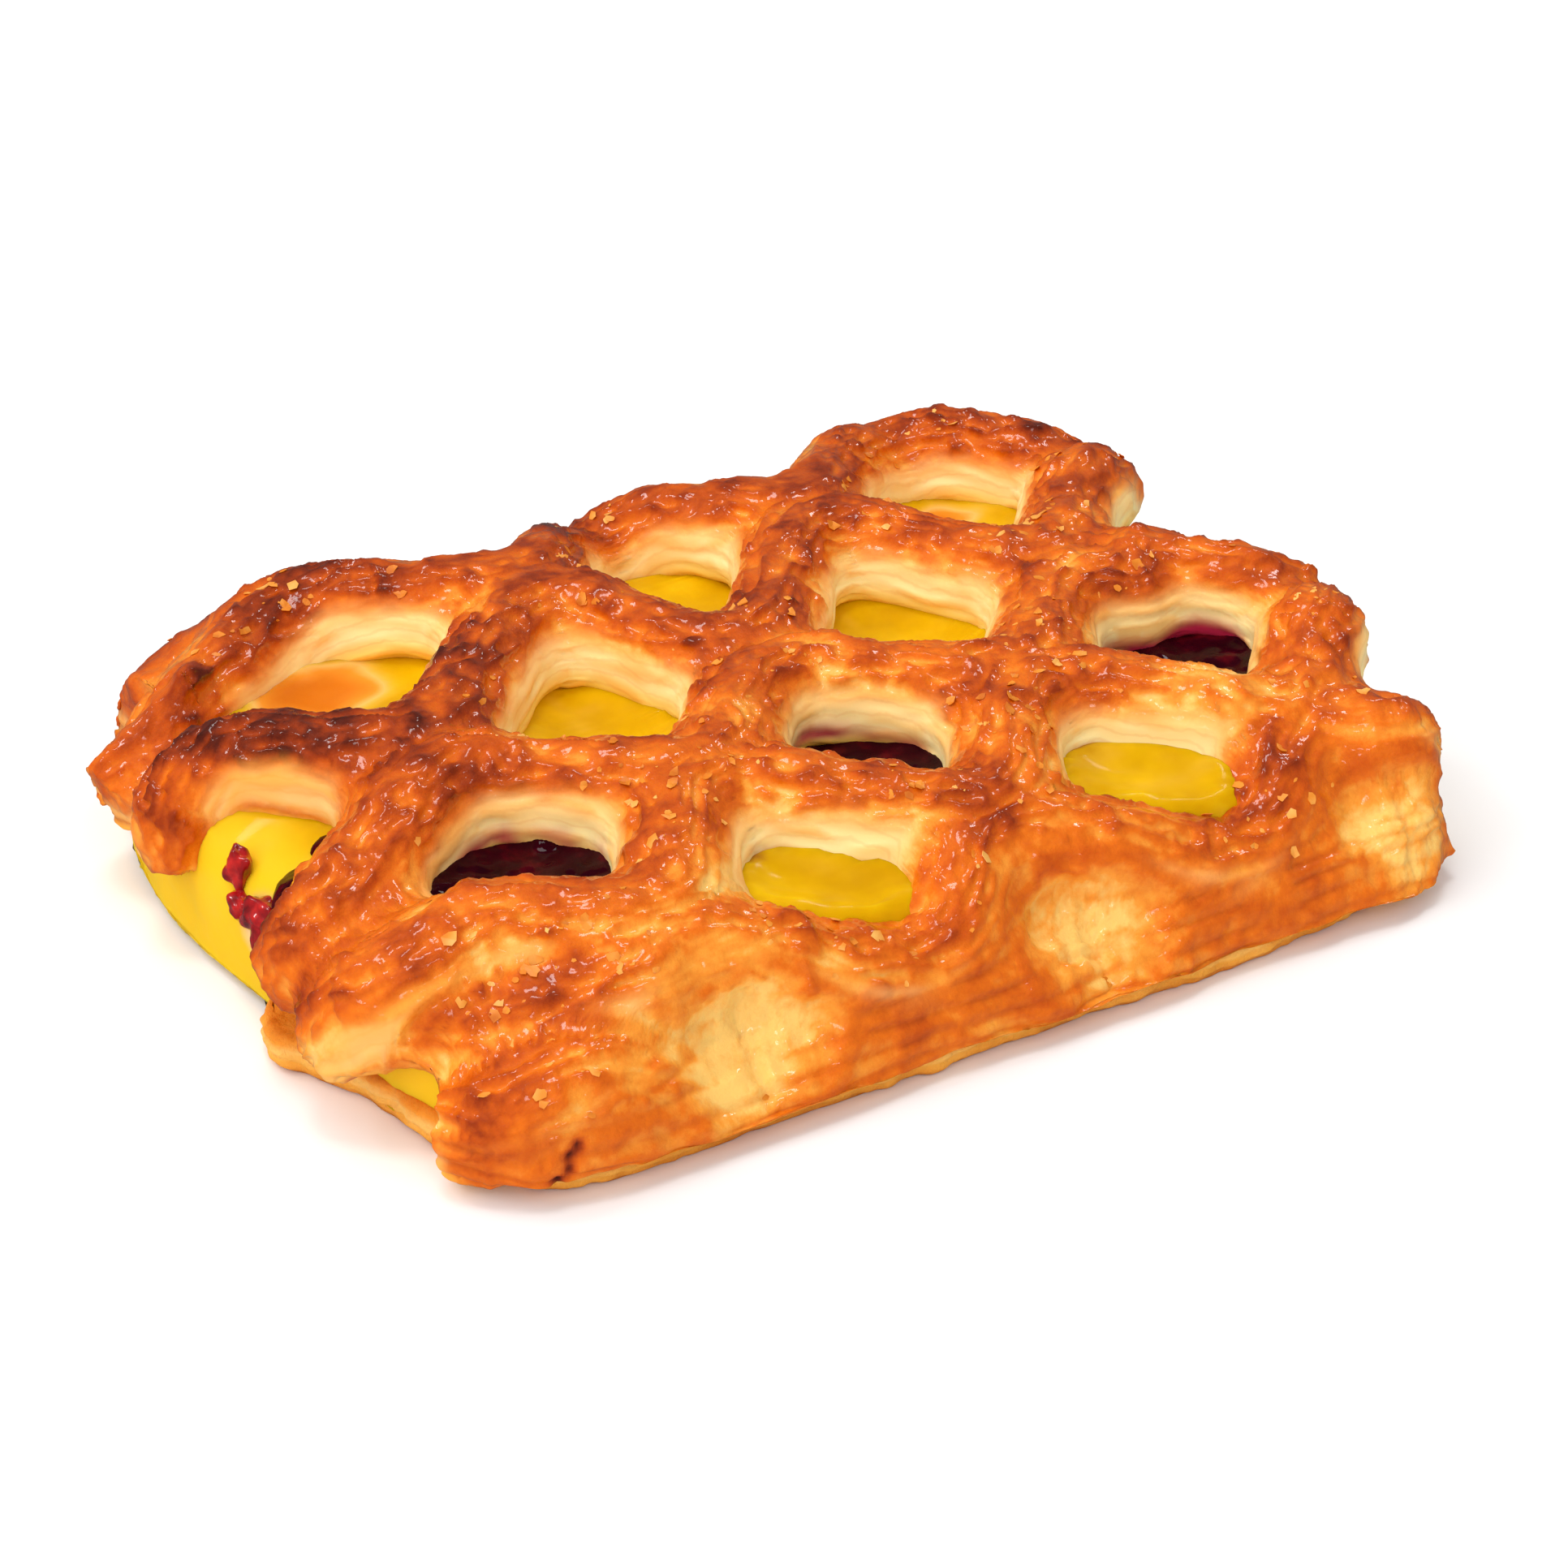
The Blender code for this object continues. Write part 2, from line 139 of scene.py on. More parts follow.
# %% [markdown]
# ## The camera, the light and the floor
#
# A product picture of food is taken with a longer lens from a low angle, so that the holes of the
# lattice show their far walls. The camera stands where a fit to the picture put it.
#
# The light is a large soft panel overhead, weaker ones from the front and the left, and the even
# light of a white room. Four smaller lamps give the gleam and the sparkles on wet and glazed
# parts. The panels and the floor stay out of the gloss, or dark crust would look grey. All lamps
# are suns with a wide angle, which light the floor evenly far behind the pastry. The floor is
# plain and pale; it isn't part of the pastry.

# %% Camera
scene = bpy.context.scene
camera = bpy.data.objects.new("camera", bpy.data.cameras.new("camera"))
camera.data.lens = 85
camera.data.sensor_width = 36
camera.data.clip_start = 0.01
camera.location = (-0.19017, -0.31194, 0.20489)
camera.rotation_euler = (math.radians(61.5), 0, math.radians(-32))
scene.collection.objects.link(camera)
scene.camera = camera
print("the camera stands", round(camera.location.length, 2), "m from the pastry")

# %% Lamps and the white room
WHITE = "#ffffff"
LAMPS = (  # name, direction it shines from, strength, width in degrees, colour, seen in gloss
    ("overhead_panel", (-0.30, 0.40, 1.0), 1.28, 62, WHITE, False),
    ("front_panel", (-0.25, -0.9, 0.75), 0.92, 60, "#fffaf4", False),
    ("left_panel", (-1.0, -0.15, 0.45), 1.25, 60, WHITE, False),
    ("room_light", (0.0, 0.0, 1.0), 0.70, 170, WHITE, False),
    ("gleam_lamp", (-0.05, 0.10, 1.0), 0.50, 15, WHITE, True),
    ("front_sparkle", (-0.20, -0.75, 0.70), 0.16, 10, WHITE, True),
    ("right_sparkle", (0.60, 0.30, 0.8), 0.20, 8, WHITE, True),
    ("left_sparkle", (-0.45, 0.65, 0.8), 0.20, 8, WHITE, True),
)
for name, towards, strength, degrees, colour, in_gloss in LAMPS:
    light = bpy.data.lights.new(name, "SUN")
    light.energy = strength
    light.angle = math.radians(degrees)
    light.color = linear(colour)[:3]
    lamp = bpy.data.objects.new(name, light)
    lamp.rotation_euler = Vector(towards).to_track_quat("Z", "Y").to_euler()
    lamp.visible_glossy = in_gloss
    scene.collection.objects.link(lamp)

scene.view_settings.view_transform = "Standard"
world = bpy.data.worlds.new("white room")
scene.world = world
world.use_nodes = True
background = world.node_tree.nodes["Background"]
background.inputs["Color"].default_value = linear(WHITE)
background.inputs["Strength"].default_value = 0.12
print("lit by", len(LAMPS), "lamps")

# %% The floor
floor_mesh = bpy.data.meshes.new("floor")
floor_shape = bmesh.new()
bmesh.ops.create_grid(floor_shape, x_segments=1, y_segments=1, size=3.0)
floor_shape.to_mesh(floor_mesh)
floor_shape.free()
floor = bpy.data.objects.new("floor", floor_mesh)
scene.collection.objects.link(floor)
floor.visible_glossy = False

paper = bpy.data.materials.new("matt white paper")
paper.use_nodes = True
paper_shader = paper.node_tree.nodes["Principled BSDF"]
paper_shader.inputs["Base Color"].default_value = linear("#f4f4f4")
paper_shader.inputs["Roughness"].default_value = 0.9
floor_mesh.materials.append(paper)
print("the floor is", floor.dimensions[0], "m wide")

# %% [markdown]
# ## The shape of the draped sheet
#
# The baker rolls a sheet, cuts rows of short slits in it, pulls it wider so that the slits open
# as diamonds, and lays it over the filling. What is left between two rows of slits is a thread
# that swings to and fro: it touches its neighbour at each bond and leaves a hole in between.
# So the whole lattice follows from a few numbers: where each row of slits lies across the
# pastry, the distance between slits along it, and the sheet's outline seen from the end.
#
# Rows and threads are counted from the front. Thread 0 lies between rows 0 and 1, and thread 6
# between rows 6 and 7.

# %% Sizes of the sheet
BASE_LENGTH, BASE_WIDTH, BASE_THICK = 0.1230, 0.1050, 0.0042
CROWN_HEIGHT = 0.0264  # the sheet's top over the tray
BACK_LIFT = 0.045  # it rises by this share of a step towards the back
EDGE_POWER = {"front": 4.0, "back": 7.0}  # how square its two shoulders are
END_DROOP = 0.0018  # its two cut ends sag by this much
PITCH = 0.0415  # from one slit of a row to the next
LAST_COLUMN = 3
STRAND_WIDTH, STRAND_THICK = 0.0120, 0.0108
CENTRING = np.array([0.0009, 0.0, 0.0])  # moves all pieces into the model's frame

ROW_Y = (-0.0521, -0.0505, -0.0395, -0.0208, -0.0022, 0.0240, 0.0470, 0.0521)
ROW_SHIFT = (0.0110, 0.0110, 0.0060, 0.0010, -0.0010, 0.0010, 0.0030, 0.0030)
HALF_BOND = (0.0, 0.0010, 0.0022, 0.0018, 0.0038, 0.0030, 0.0025, 0.0)
ROW_SLANT = 0.03  # the rows drift towards the back by this share of their length
TIPS_BEGIN = -0.0430  # left of this X the threads' ends are listed one by one
SAGS = (  # where the sheet sags: its middle, half its size, and how far
    ((-0.0030, 0.0460), (0.0110, 0.0110), 0.0040),
    ((0.0180, 0.0460), (0.0100, 0.0120), 0.0012),
    ((0.0290, 0.0440), (0.0050, 0.0100), 0.0012),
)

turn = np.linspace(math.pi, 0.0, 400)
power = np.where(turn > math.pi / 2, EDGE_POWER["front"], EDGE_POWER["back"])
PROFILE_Y = BASE_WIDTH / 2 * np.sign(np.cos(turn)) * np.abs(np.cos(turn)) ** (2 / power)
PROFILE_Z = (CROWN_HEIGHT + BACK_LIFT * PROFILE_Y) * np.sin(turn)
ARC = np.concatenate(([0.0], np.cumsum(np.hypot(np.diff(PROFILE_Y), np.diff(PROFILE_Z)))))
ROW_ARC = np.interp(ROW_Y, PROFILE_Y, ARC)
print("the sheet is", round(1000 * ARC[-1]), "mm wide along its curve")

# %% [markdown]
# A place on the sheet is given by its X and by its distance along the curve from the front edge.
# These functions turn such places into points, many at once.

# %% Places on the sheet
SLOPE_REACH = 0.002  # the sheet's slope is taken between points this far to both sides
BOND_SHIFT = 0.004  # the bond of threads 4 and 5 at the second column sits this far to the right


def sheet_points(x, arc, depth=0.0):
    """Points at x and at this arc length on the sheet's top, moved inwards by depth."""
    x, arc, depth = np.broadcast_arrays(np.asarray(x, float), arc, depth)
    low, high = np.maximum(arc - SLOPE_REACH, 0.0), np.minimum(arc + SLOPE_REACH, ARC[-1])
    rise = np.interp(high, ARC, PROFILE_Z) - np.interp(low, ARC, PROFILE_Z)
    run = np.interp(high, ARC, PROFILE_Y) - np.interp(low, ARC, PROFILE_Y)
    slope = np.arctan2(rise, run)
    y, z = np.interp(arc, ARC, PROFILE_Y), np.interp(arc, ARC, PROFILE_Z)
    share = z / CROWN_HEIGHT
    drop = END_DROOP * (2 * np.abs(x) / BASE_LENGTH) ** 4 * share
    for (sag_x, sag_y), (half_x, half_y), sag in SAGS:
        drop = drop + sag * np.exp(-((x - sag_x) / half_x) ** 2 - ((y - sag_y) / half_y) ** 2)
    y = y + ROW_SLANT * x * share + depth * np.sin(slope)
    return np.stack([x, y, z - drop - depth * np.cos(slope)], axis=-1)


def thread_place(row, column):
    """The X and the arc length of the thread between two rows of slits, at this column."""
    column = np.asarray(column, float)
    swing = 0.5 - 0.5 * np.cos(2 * math.pi * column)
    share = swing if row % 2 else 1.0 - swing
    low, high = ROW_ARC[row] + HALF_BOND[row], ROW_ARC[row + 1] - HALF_BOND[row + 1]
    near, far = np.full(column.shape, ROW_SHIFT[row]), np.full(column.shape, ROW_SHIFT[row + 1])
    pull = BOND_SHIFT * np.cos(math.pi / 2 * np.clip(np.abs(column - 1), 0, 1)) ** 2
    if row == 5:
        near = near + pull
    if row == 4:
        far = far + pull
    x = (column - LAST_COLUMN / 2) * PITCH + near * (1 - share) + far * share
    return x, low + (high - low) * share


print("the crown is", round(1000 * float(sheet_points(0.0, ARC[-1] / 2)[2]), 1), "mm high")

# %% [markdown]
# Each thread is drawn as its middle line. The cut ends droop and turn sideways as they bake,
# each in its own way, so the points of their middle lines are listed, for each thread
# from its inner part out to its tip.

# %% The threads' middle lines
LEFT_TIPS = {
    6: ((-0.0530, 0.0455, 0.0110),),
    5: ((-0.0530, 0.0326, 0.0166), (-0.0600, 0.0296, 0.0130), (-0.0662, 0.0286, 0.0104)),
    4: ((-0.0485, 0.0035, 0.0205), (-0.0555, 0.0125, 0.0190), (-0.0620, 0.0145, 0.0150),
        (-0.0644, 0.0115, 0.0088)),
    3: ((-0.0520, -0.0120, 0.0182), (-0.0605, -0.0170, 0.0145), (-0.0665, -0.0150, 0.0098)),
    2: ((-0.0500, -0.0300, 0.0168), (-0.0590, -0.0295, 0.0140), (-0.0638, -0.0275, 0.0105),
        (-0.0652, -0.0262, 0.0072)),
    1: ((-0.0480, -0.0385, 0.0108), (-0.0570, -0.0370, 0.0095)),
    0: ((-0.0480, -0.0465, 0.0080), (-0.0565, -0.0445, 0.0060), (-0.0595, -0.0410, 0.0052)),
}
RIGHT_TIPS = {
    6: ((0.0610, 0.0445, 0.0100),),
    5: ((0.0580, 0.0318, 0.0200), (0.0655, 0.0262, 0.0176)),
    4: ((0.0580, 0.0190, 0.0212), (0.0655, 0.0228, 0.0184)),
    3: ((0.0500, -0.0038, 0.0210), (0.0572, -0.0105, 0.0204), (0.0655, -0.0155, 0.0182)),
    2: ((0.0590, -0.0245, 0.0195), (0.0645, -0.0210, 0.0170)),
    1: ((0.0560, -0.0415, 0.0145), (0.0600, -0.0405, 0.0128)),
    0: ((0.0540, -0.0460, 0.0080), (0.0575, -0.0450, 0.0070)),
}
LINE_STEP = 1 * MM


def lengths_along(line):
    """The distance of each point of a line from its start."""
    return np.concatenate(([0.0], np.cumsum(np.linalg.norm(np.diff(line, axis=0), axis=1))))


def even_path(points):
    """A smooth line through these points, as points one line step apart."""
    points = np.asarray(points, float)
    ends = np.vstack([2 * points[0] - points[1], points, 2 * points[-1] - points[-2]])
    pieces = []
    for number in range(len(points) - 1):
        before, start, stop, after = ends[number:number + 4]
        t = np.linspace(0, 1, 24, endpoint=False)[:, None]
        leave, arrive = (stop - before) / 2, (after - start) / 2
        pieces.append((2 * t**3 - 3 * t**2 + 1) * start + (t**3 - 2 * t**2 + t) * leave
                      + (3 * t**2 - 2 * t**3) * stop + (t**3 - t**2) * arrive)
    line = np.vstack(pieces + [points[-1:]])
    length = lengths_along(line)
    marks = np.linspace(0, length[-1], max(2, round(length[-1] / LINE_STEP)))
    return np.stack([np.interp(marks, length, line[:, k]) for k in range(3)], 1)


def thread_line(row):
    """The middle line of one thread, from its left tip to its right tip."""
    x, arc = thread_place(row, np.arange(0, LAST_COLUMN + 0.01, 1 / 8))
    keep = (x > TIPS_BEGIN) & (x < RIGHT_TIPS[row][0][0] - PITCH / 16)
    middle = sheet_points(x[keep], arc[keep], STRAND_THICK / 2)
    return even_path(np.vstack([LEFT_TIPS[row][::-1], middle, RIGHT_TIPS[row]]))


threads = [thread_line(row) for row in range(len(ROW_Y) - 1)]
print("the threads are", [len(line) for line in threads], "mm long")

# %% [markdown]
# ## Turning lines and sheets into dough
#
# A thread is a profile swept along its middle line. Its section isn't round: the top swells
# into a dome in the oven while the cut sides stay straight and spread a little towards the
# bottom. So the profile is domed above, boxy below, and wider at its foot.

# %% Sweeping a profile along a line
PROFILE_POINTS = 36
pieces_shelf = bpy.data.collections.new("pieces")
scene.collection.children.link(pieces_shelf)


def add_object(name, data):
    """A new object for a mesh or a curve."""
    made = bpy.data.objects.new(name, data)
    pieces_shelf.objects.link(made)
    return made


def mesh_of(shape, name):
    """Turns a bmesh into an object, with its faces outwards."""
    bmesh.ops.recalc_face_normals(shape, faces=shape.faces)
    mesh = bpy.data.meshes.new(name)
    shape.to_mesh(mesh)
    shape.free()
    mesh.shade_smooth()
    return add_object(name, mesh)


def dough_profile(name, half_width, half_height, top_power, foot_power, spread):
    """The outline of a cut strip of dough: a dome above, a wider box below."""
    outline = bpy.data.curves.new(name, "CURVE")
    outline.dimensions = "2D"
    spline = outline.splines.new("POLY")
    spline.points.add(PROFILE_POINTS - 1)
    spline.use_cyclic_u = True
    for number, point in enumerate(spline.points):
        angle = 2 * math.pi * number / PROFILE_POINTS
        across, up = math.cos(angle), math.sin(angle)
        power = top_power if up > 0 else foot_power
        reach = (abs(across) ** power + abs(up) ** power) ** (-1 / power)
        across, up = across * reach, up * reach
        point.co = (across * half_width * (1 - spread * up), up * half_height, 0.0, 1.0)
    return add_object(name, outline)


def sweep(name, line, profile, radii):
    """A closed mesh: the profile swept along a line, with a size for each of its points."""
    curve = bpy.data.curves.new(name, "CURVE")
    curve.dimensions = "3D"
    curve.twist_mode = "Z_UP"
    curve.bevel_mode = "OBJECT"
    curve.bevel_object = profile
    curve.use_fill_caps = True
    spline = curve.splines.new("POLY")
    spline.points.add(len(line) - 1)
    for point, place, radius in zip(spline.points, line, radii):
        point.co = (*place, 1.0)
        point.radius = radius
    guide = add_object(name + "_line", curve)
    bpy.context.view_layer.update()
    graph = bpy.context.evaluated_depsgraph_get()
    mesh = bpy.data.meshes.new_from_object(guide.evaluated_get(graph))
    bpy.data.objects.remove(guide)
    shape = bmesh.new()
    shape.from_mesh(mesh)
    bmesh.ops.remove_doubles(shape, verts=shape.verts, dist=0.02 * MM)
    return mesh_of(shape, name)


def tapered(line, first, last, reach=9 * MM):
    """A size for each point of a line that narrows to first and last at its two ends."""
    length = lengths_along(line)
    left = smoothstep(0, reach, length)
    right = smoothstep(0, reach, length[-1] - length)
    return (first + (1 - first) * np.sqrt(left)) * (last + (1 - last) * np.sqrt(right))


profile = dough_profile("thread_profile", STRAND_WIDTH / 2, STRAND_THICK / 2, 2.0, 3.0, 0.13)
print("the thread's profile has", len(profile.data.splines[0].points), "points")

# %% [markdown]
# The pieces of dough are melted together with a voxel remesh, as raw dough is when it is pressed.
# Then the mesh is read as arrays of numbers, because relief on a hundred thousand points is
# worked out far quicker on arrays than point by point.
#
# A baked sheet has no sharp inner corners, because the dough creeps before it sets. Swelling the
# melted mesh, melting it again and shrinking it back fills such corners and leaves the rest as it
# was. The shrinking follows evened normals, or thin tips would grow spikes.

# %% Reading and writing meshes
def read(piece):
    """The points of a mesh and their normals, as arrays."""
    count = len(piece.data.vertices)
    places, normals = np.empty(3 * count), np.empty(3 * count)
    piece.data.vertices.foreach_get("co", places)
    piece.data.vertices.foreach_get("normal", normals)
    return places.reshape(-1, 3), normals.reshape(-1, 3)


def write(piece, places, **masks):
    """Puts changed points back, with masks stored as named attributes."""
    piece.data.vertices.foreach_set("co", places.ravel())
    for name, values in masks.items():
        mask = piece.data.attributes.new(name, "FLOAT", "POINT")
        mask.data.foreach_set("value", np.asarray(values, np.float32))
    piece.data.update()


def even_out(piece, values, rounds):
    """A mask with its sharp steps spread along the edges of the mesh."""
    ends = np.empty(2 * len(piece.data.edges), int)
    piece.data.edges.foreach_get("vertices", ends)
    one, other = ends[0::2], ends[1::2]
    total = len(values)
    neighbours = np.maximum(np.bincount(ends, minlength=total), 1)
    for _ in range(rounds):
        around = np.bincount(one, values[other], total) + np.bincount(other, values[one], total)
        values = 0.5 * values + 0.5 * around / neighbours
    return values


def nearest(points, targets):
    """For each point, the number of the nearest target and its distance."""
    tree = KDTree(len(targets))
    for number, target in enumerate(targets):
        tree.insert(target, number)
    tree.balance()
    found = [tree.find(point) for point in points]
    return np.array([f[1] for f in found]), np.array([f[2] for f in found])


print("a thread has", len(threads[0]), "points, the nearest to its middle is number",
      nearest([threads[0].mean(axis=0)], threads[0])[0][0])

# %% Melting pieces together and rounding their inner corners
VOXEL = 0.00045
SOFTENING = 6
NORMAL_ROUNDS, PLACE_ROUNDS = 8, 4


def melt(name, pieces, voxel, rounds):
    """One mesh object made of all these pieces, melted together and softened."""
    shape = bmesh.new()
    bpy.context.view_layer.update()
    graph = bpy.context.evaluated_depsgraph_get()
    for piece in pieces:
        mesh = bpy.data.meshes.new_from_object(piece.evaluated_get(graph))
        shape.from_mesh(mesh)
        bpy.data.meshes.remove(mesh)
        bpy.data.objects.remove(piece)
    joined = mesh_of(shape, name + "_parts")
    remesh = joined.modifiers.new("Melt", "REMESH")
    remesh.mode = "VOXEL"
    remesh.voxel_size = voxel
    soften = joined.modifiers.new("Soften", "SMOOTH")
    soften.factor = 0.5
    soften.iterations = rounds
    bpy.context.view_layer.update()
    graph = bpy.context.evaluated_depsgraph_get()
    mesh = bpy.data.meshes.new_from_object(joined.evaluated_get(graph))
    bpy.data.objects.remove(joined)
    mesh.name = name
    mesh.shade_smooth()
    return add_object(name, mesh)


def round_corners(piece, reach, voxel, rounds):
    """Swells a mesh, melts it, and shrinks it again, which leaves its inner corners rounded."""
    places, normals = read(piece)
    write(piece, places + normals * reach)
    rounded = melt(piece.name + "_round", [piece], voxel, rounds)
    places, normals = read(rounded)
    inwards = np.stack([even_out(rounded, way, NORMAL_ROUNDS) for way in normals.T], axis=1)
    inwards /= np.linalg.norm(inwards, axis=1)[:, None]
    places = places - inwards * reach
    write(rounded, np.stack([even_out(rounded, part, PLACE_ROUNDS) for part in places.T], axis=1))
    return rounded


print("dough is melted in cells of", round(VOXEL / MM, 2), "mm")

# %% [markdown]
# ## The lattice
#
# Along the two long edges the sheet is pressed down onto the base. Its outermost slits stay
# shut there, and show as dimples. Each sealed edge is a thin sheet between the seam and the
# nearest thread, thickened with Solidify, and it is melted together with the seven threads.

# %% The sealed edges
SHEET_THICK = 0.0046
SEAM_ARC = 0.0050
SEALED_COLUMNS = {1: (0.02, 2.75), 5: (0.12, 2.95)}  # thread: its first and last column
SEALED_DEPTH = 0.0015
DIMPLES = {  # row: first column, how many, depth, half their X and arc, and how far off the row
    1: (0.5, 3, 0.0038, 0.0078, 0.0060, 0.0),
    6: (0.0, 4, 0.0070, 0.0120, 0.0095, -0.0070),
}
FAR_ASIDE = 0.05


def dimple(x, arc):
    """How deep the shut slits press the sheet in, how near the middle of one a place is, and
    how far it lies aside of that middle."""
    depth, near, aside = np.zeros_like(x), np.zeros_like(x), np.full_like(x, FAR_ASIDE)
    for row, (first, count, deep, half_x, half_arc, from_row) in DIMPLES.items():
        for number in range(count):
            middle = (first + number - LAST_COLUMN / 2) * PITCH + ROW_SHIFT[row]
            arc_off = arc - ROW_ARC[row] - from_row
            bump = np.exp(-((x - middle) / half_x) ** 2 - (arc_off / half_arc) ** 2)
            depth = depth + deep * bump
            aside = np.where(bump > near, x - middle, aside)
            near = np.maximum(near, bump)
    return depth, near, aside


def sealed_edge(name, row, seam_arc):
    """The stretch of the sheet between a seam and a thread."""
    first, last = SEALED_COLUMNS[row]
    shape = bmesh.new()
    bmesh.ops.create_grid(shape, x_segments=160, y_segments=30, size=0.5)
    grid = np.array([vert.co[:2] for vert in shape.verts]) + 0.5
    x, thread_arc = thread_place(row, first + (last - first) * grid[:, 0])
    low, high = np.minimum(seam_arc, thread_arc), np.maximum(seam_arc, thread_arc)
    arc = low + (high - low) * grid[:, 1]
    depth, _, _ = dimple(x, arc)
    for vert, place in zip(shape.verts, sheet_points(x, arc, depth + SEALED_DEPTH)):
        vert.co = place
    sheet = mesh_of(shape, name)
    shell = sheet.modifiers.new("Thickness", "SOLIDIFY")
    shell.thickness = SHEET_THICK
    shell.offset = -1.0
    return sheet


edges = [sealed_edge("front_edge", 1, SEAM_ARC),
         sealed_edge("back_edge", 5, float(ARC[-1]) - SEAM_ARC)]
print("each sealed edge has", len(edges[0].data.vertices), "points")

# %% [markdown]
# The threads swell a little at each bond, where two of them were never cut apart. Then they are
# all melted together, and the corners where they meet are rounded.

# %% The lattice, melted from its threads and edges
TIP_SIZES = {6: (0.7, 0.7), 5: (0.78, 0.7), 4: (0.62, 0.7), 3: (0.55, 0.7), 2: (0.6, 0.7),
             1: (0.7, 0.7), 0: (0.75, 0.7)}  # of the left and the right tip
BOND_SWELL = 0.10
CORNER_REACH = 3.0 * MM
apart = [nearest(line, np.vstack(threads[:row] + threads[row + 1:]))[1]
         for row, line in enumerate(threads)]
dough = []
for row, (line, gap) in enumerate(zip(threads, apart)):
    sizes = tapered(line, *TIP_SIZES[row]) * (1 + BOND_SWELL * smoothstep(0.016, 0.010, gap))
    dough.append(sweep(f"thread_{row}", line, profile, sizes))
lattice = melt("melted_dough", dough + edges, VOXEL, SOFTENING)
lattice = round_corners(lattice, CORNER_REACH, VOXEL, SOFTENING)
lattice.name = "baked_lattice"
bpy.data.objects.remove(profile)
print("the lattice has", len(lattice.data.vertices), "points")

# %% [markdown]
# Much of the melted mesh lies inside the filling, where nobody sees it, so those points go. The
# filling is a ball flattened towards a box, so one power sum tells what is inside it.

# %% Drop what the filling hides
MOUND_HALF = np.array([0.0620, 0.0458, 0.0165])
MOUND_POWER = 5.0
HIDDEN_DEPTH = 0.0012
places, _ = read(lattice)
inside = (np.abs(places / (MOUND_HALF - HIDDEN_DEPTH)) ** MOUND_POWER).sum(axis=1) < 1
shape = bmesh.new()
shape.from_mesh(lattice.data)
shape.verts.ensure_lookup_table()
bmesh.ops.delete(shape, geom=[shape.verts[i] for i in np.flatnonzero(inside)], context="VERTS")
shape.to_mesh(lattice.data)
shape.free()
places, normals = read(lattice)
print("kept", len(places), "points")

# %% [markdown]
# Now each point learns where it is: on which thread, how far along it, how far across it, and
# how high above its middle. All the masks and all the relief follow from these.

# %% Where each point lies on its thread
THREAD_OFFSET = 10  # keeps the noise of one thread apart from the next
lines = np.vstack(threads)
counts = [np.arange(len(line)) for line in threads]
along = np.concatenate([count * LINE_STEP + THREAD_OFFSET * row
                        for row, count in enumerate(counts)])
from_end = np.concatenate([np.minimum(count, count[::-1]) * LINE_STEP for count in counts])
thread_numbers = np.concatenate([np.full(len(line), row) for row, line in enumerate(threads)])
tangents = np.vstack([np.gradient(line, axis=0) for line in threads])
tangents /= np.linalg.norm(tangents, axis=1)[:, None]

which, _ = nearest(places, lines)
thread_of = thread_numbers[which]
offset = places - lines[which]
forward = tangents[which]
run = along[which] + (offset * forward).sum(axis=1)
sideways = np.cross(forward, [0, 0, 1])
sideways /= np.linalg.norm(sideways, axis=1)[:, None]
across = (offset * sideways).sum(axis=1)
upwards = np.cross(sideways, forward)
height = even_out(lattice, (offset * upwards).sum(axis=1), 8)
strip = np.stack([run, across, height], axis=1)
print("the points sit", round(1000 * height.min(), 1), "to", round(1000 * height.max(), 1),
      "mm from their thread's middle")

# %% [markdown]
# A point on a sealed edge has to know where it is on the sheet too, because the dimples of the
# shut slits are placed there. So it looks up the nearest of many places laid out over the sheet.

# %% Where each point lies on the sheet
x_grid, arc_grid = np.meshgrid(np.linspace(-0.060, 0.060, 150),
                               np.linspace(0.002, ARC[-1] - 0.002, 260))
close, _ = nearest(places, sheet_points(x_grid.ravel(), arc_grid.ravel()))
x_of, arc_of = x_grid.ravel()[close], arc_grid.ravel()[close]
_, in_dimple, aside = dimple(x_of, arc_of)


def arc_at(row, x):
    """The arc length of a thread at each X."""
    shift = (ROW_SHIFT[row] + ROW_SHIFT[row + 1]) / 2
    return thread_place(row, np.clip((x - shift) / PITCH + LAST_COLUMN / 2, 0, LAST_COLUMN))[1]


on_edge = np.maximum(smoothstep(2 * MM, -3 * MM, arc_of - arc_at(1, places[:, 0])),
                     smoothstep(-2 * MM, 3 * MM, arc_of - arc_at(5, places[:, 0])))
on_edge = even_out(lattice, on_edge, 6)
in_dimple = even_out(lattice, in_dimple, 6)
print(round(100 * float((on_edge > 0.5).mean())), "% of the points are on a sealed edge")

# %% [markdown]
# The crust is where the dough faced the oven: the domed top of each thread, the cut tips, and
# the outer face of the sealed edges. At the left end it reaches further down some threads, and a
# thin dark line marks the foot of their cut walls. The rest is wall, which stays pale.

# %% Masks for crust and wall
LOW_CRUST = np.array([2.5, 2.5, 0.3, 4.0, 0.0, 3.0, 3.0]) * MM  # for each thread's left end
CUT_LINE_LOW, CUT_LINE_WIDTH = 2.6 * MM, 0.55 * MM
CUT_LINE_FLOOR = 0.006
x = places[:, 0]
outward = smoothstep(0.1, 0.5, np.abs(normals[:, 1]) + np.maximum(normals[:, 2], 0))
tip = smoothstep(6 * MM, 1.5 * MM, from_end[which]) * smoothstep(-2.5 * MM, 1.5 * MM, height)
wobble = 0.8 * MM * noise(places, 6 * MM, 1) + 0.45 * MM * noise(places, 2 * MM, 2)
reach_down = even_out(lattice, LOW_CRUST[thread_of] * smoothstep(-0.046, -0.058, x), 10)
crust = smoothstep(0.8 * MM, 3.6 * MM, height + wobble + reach_down)
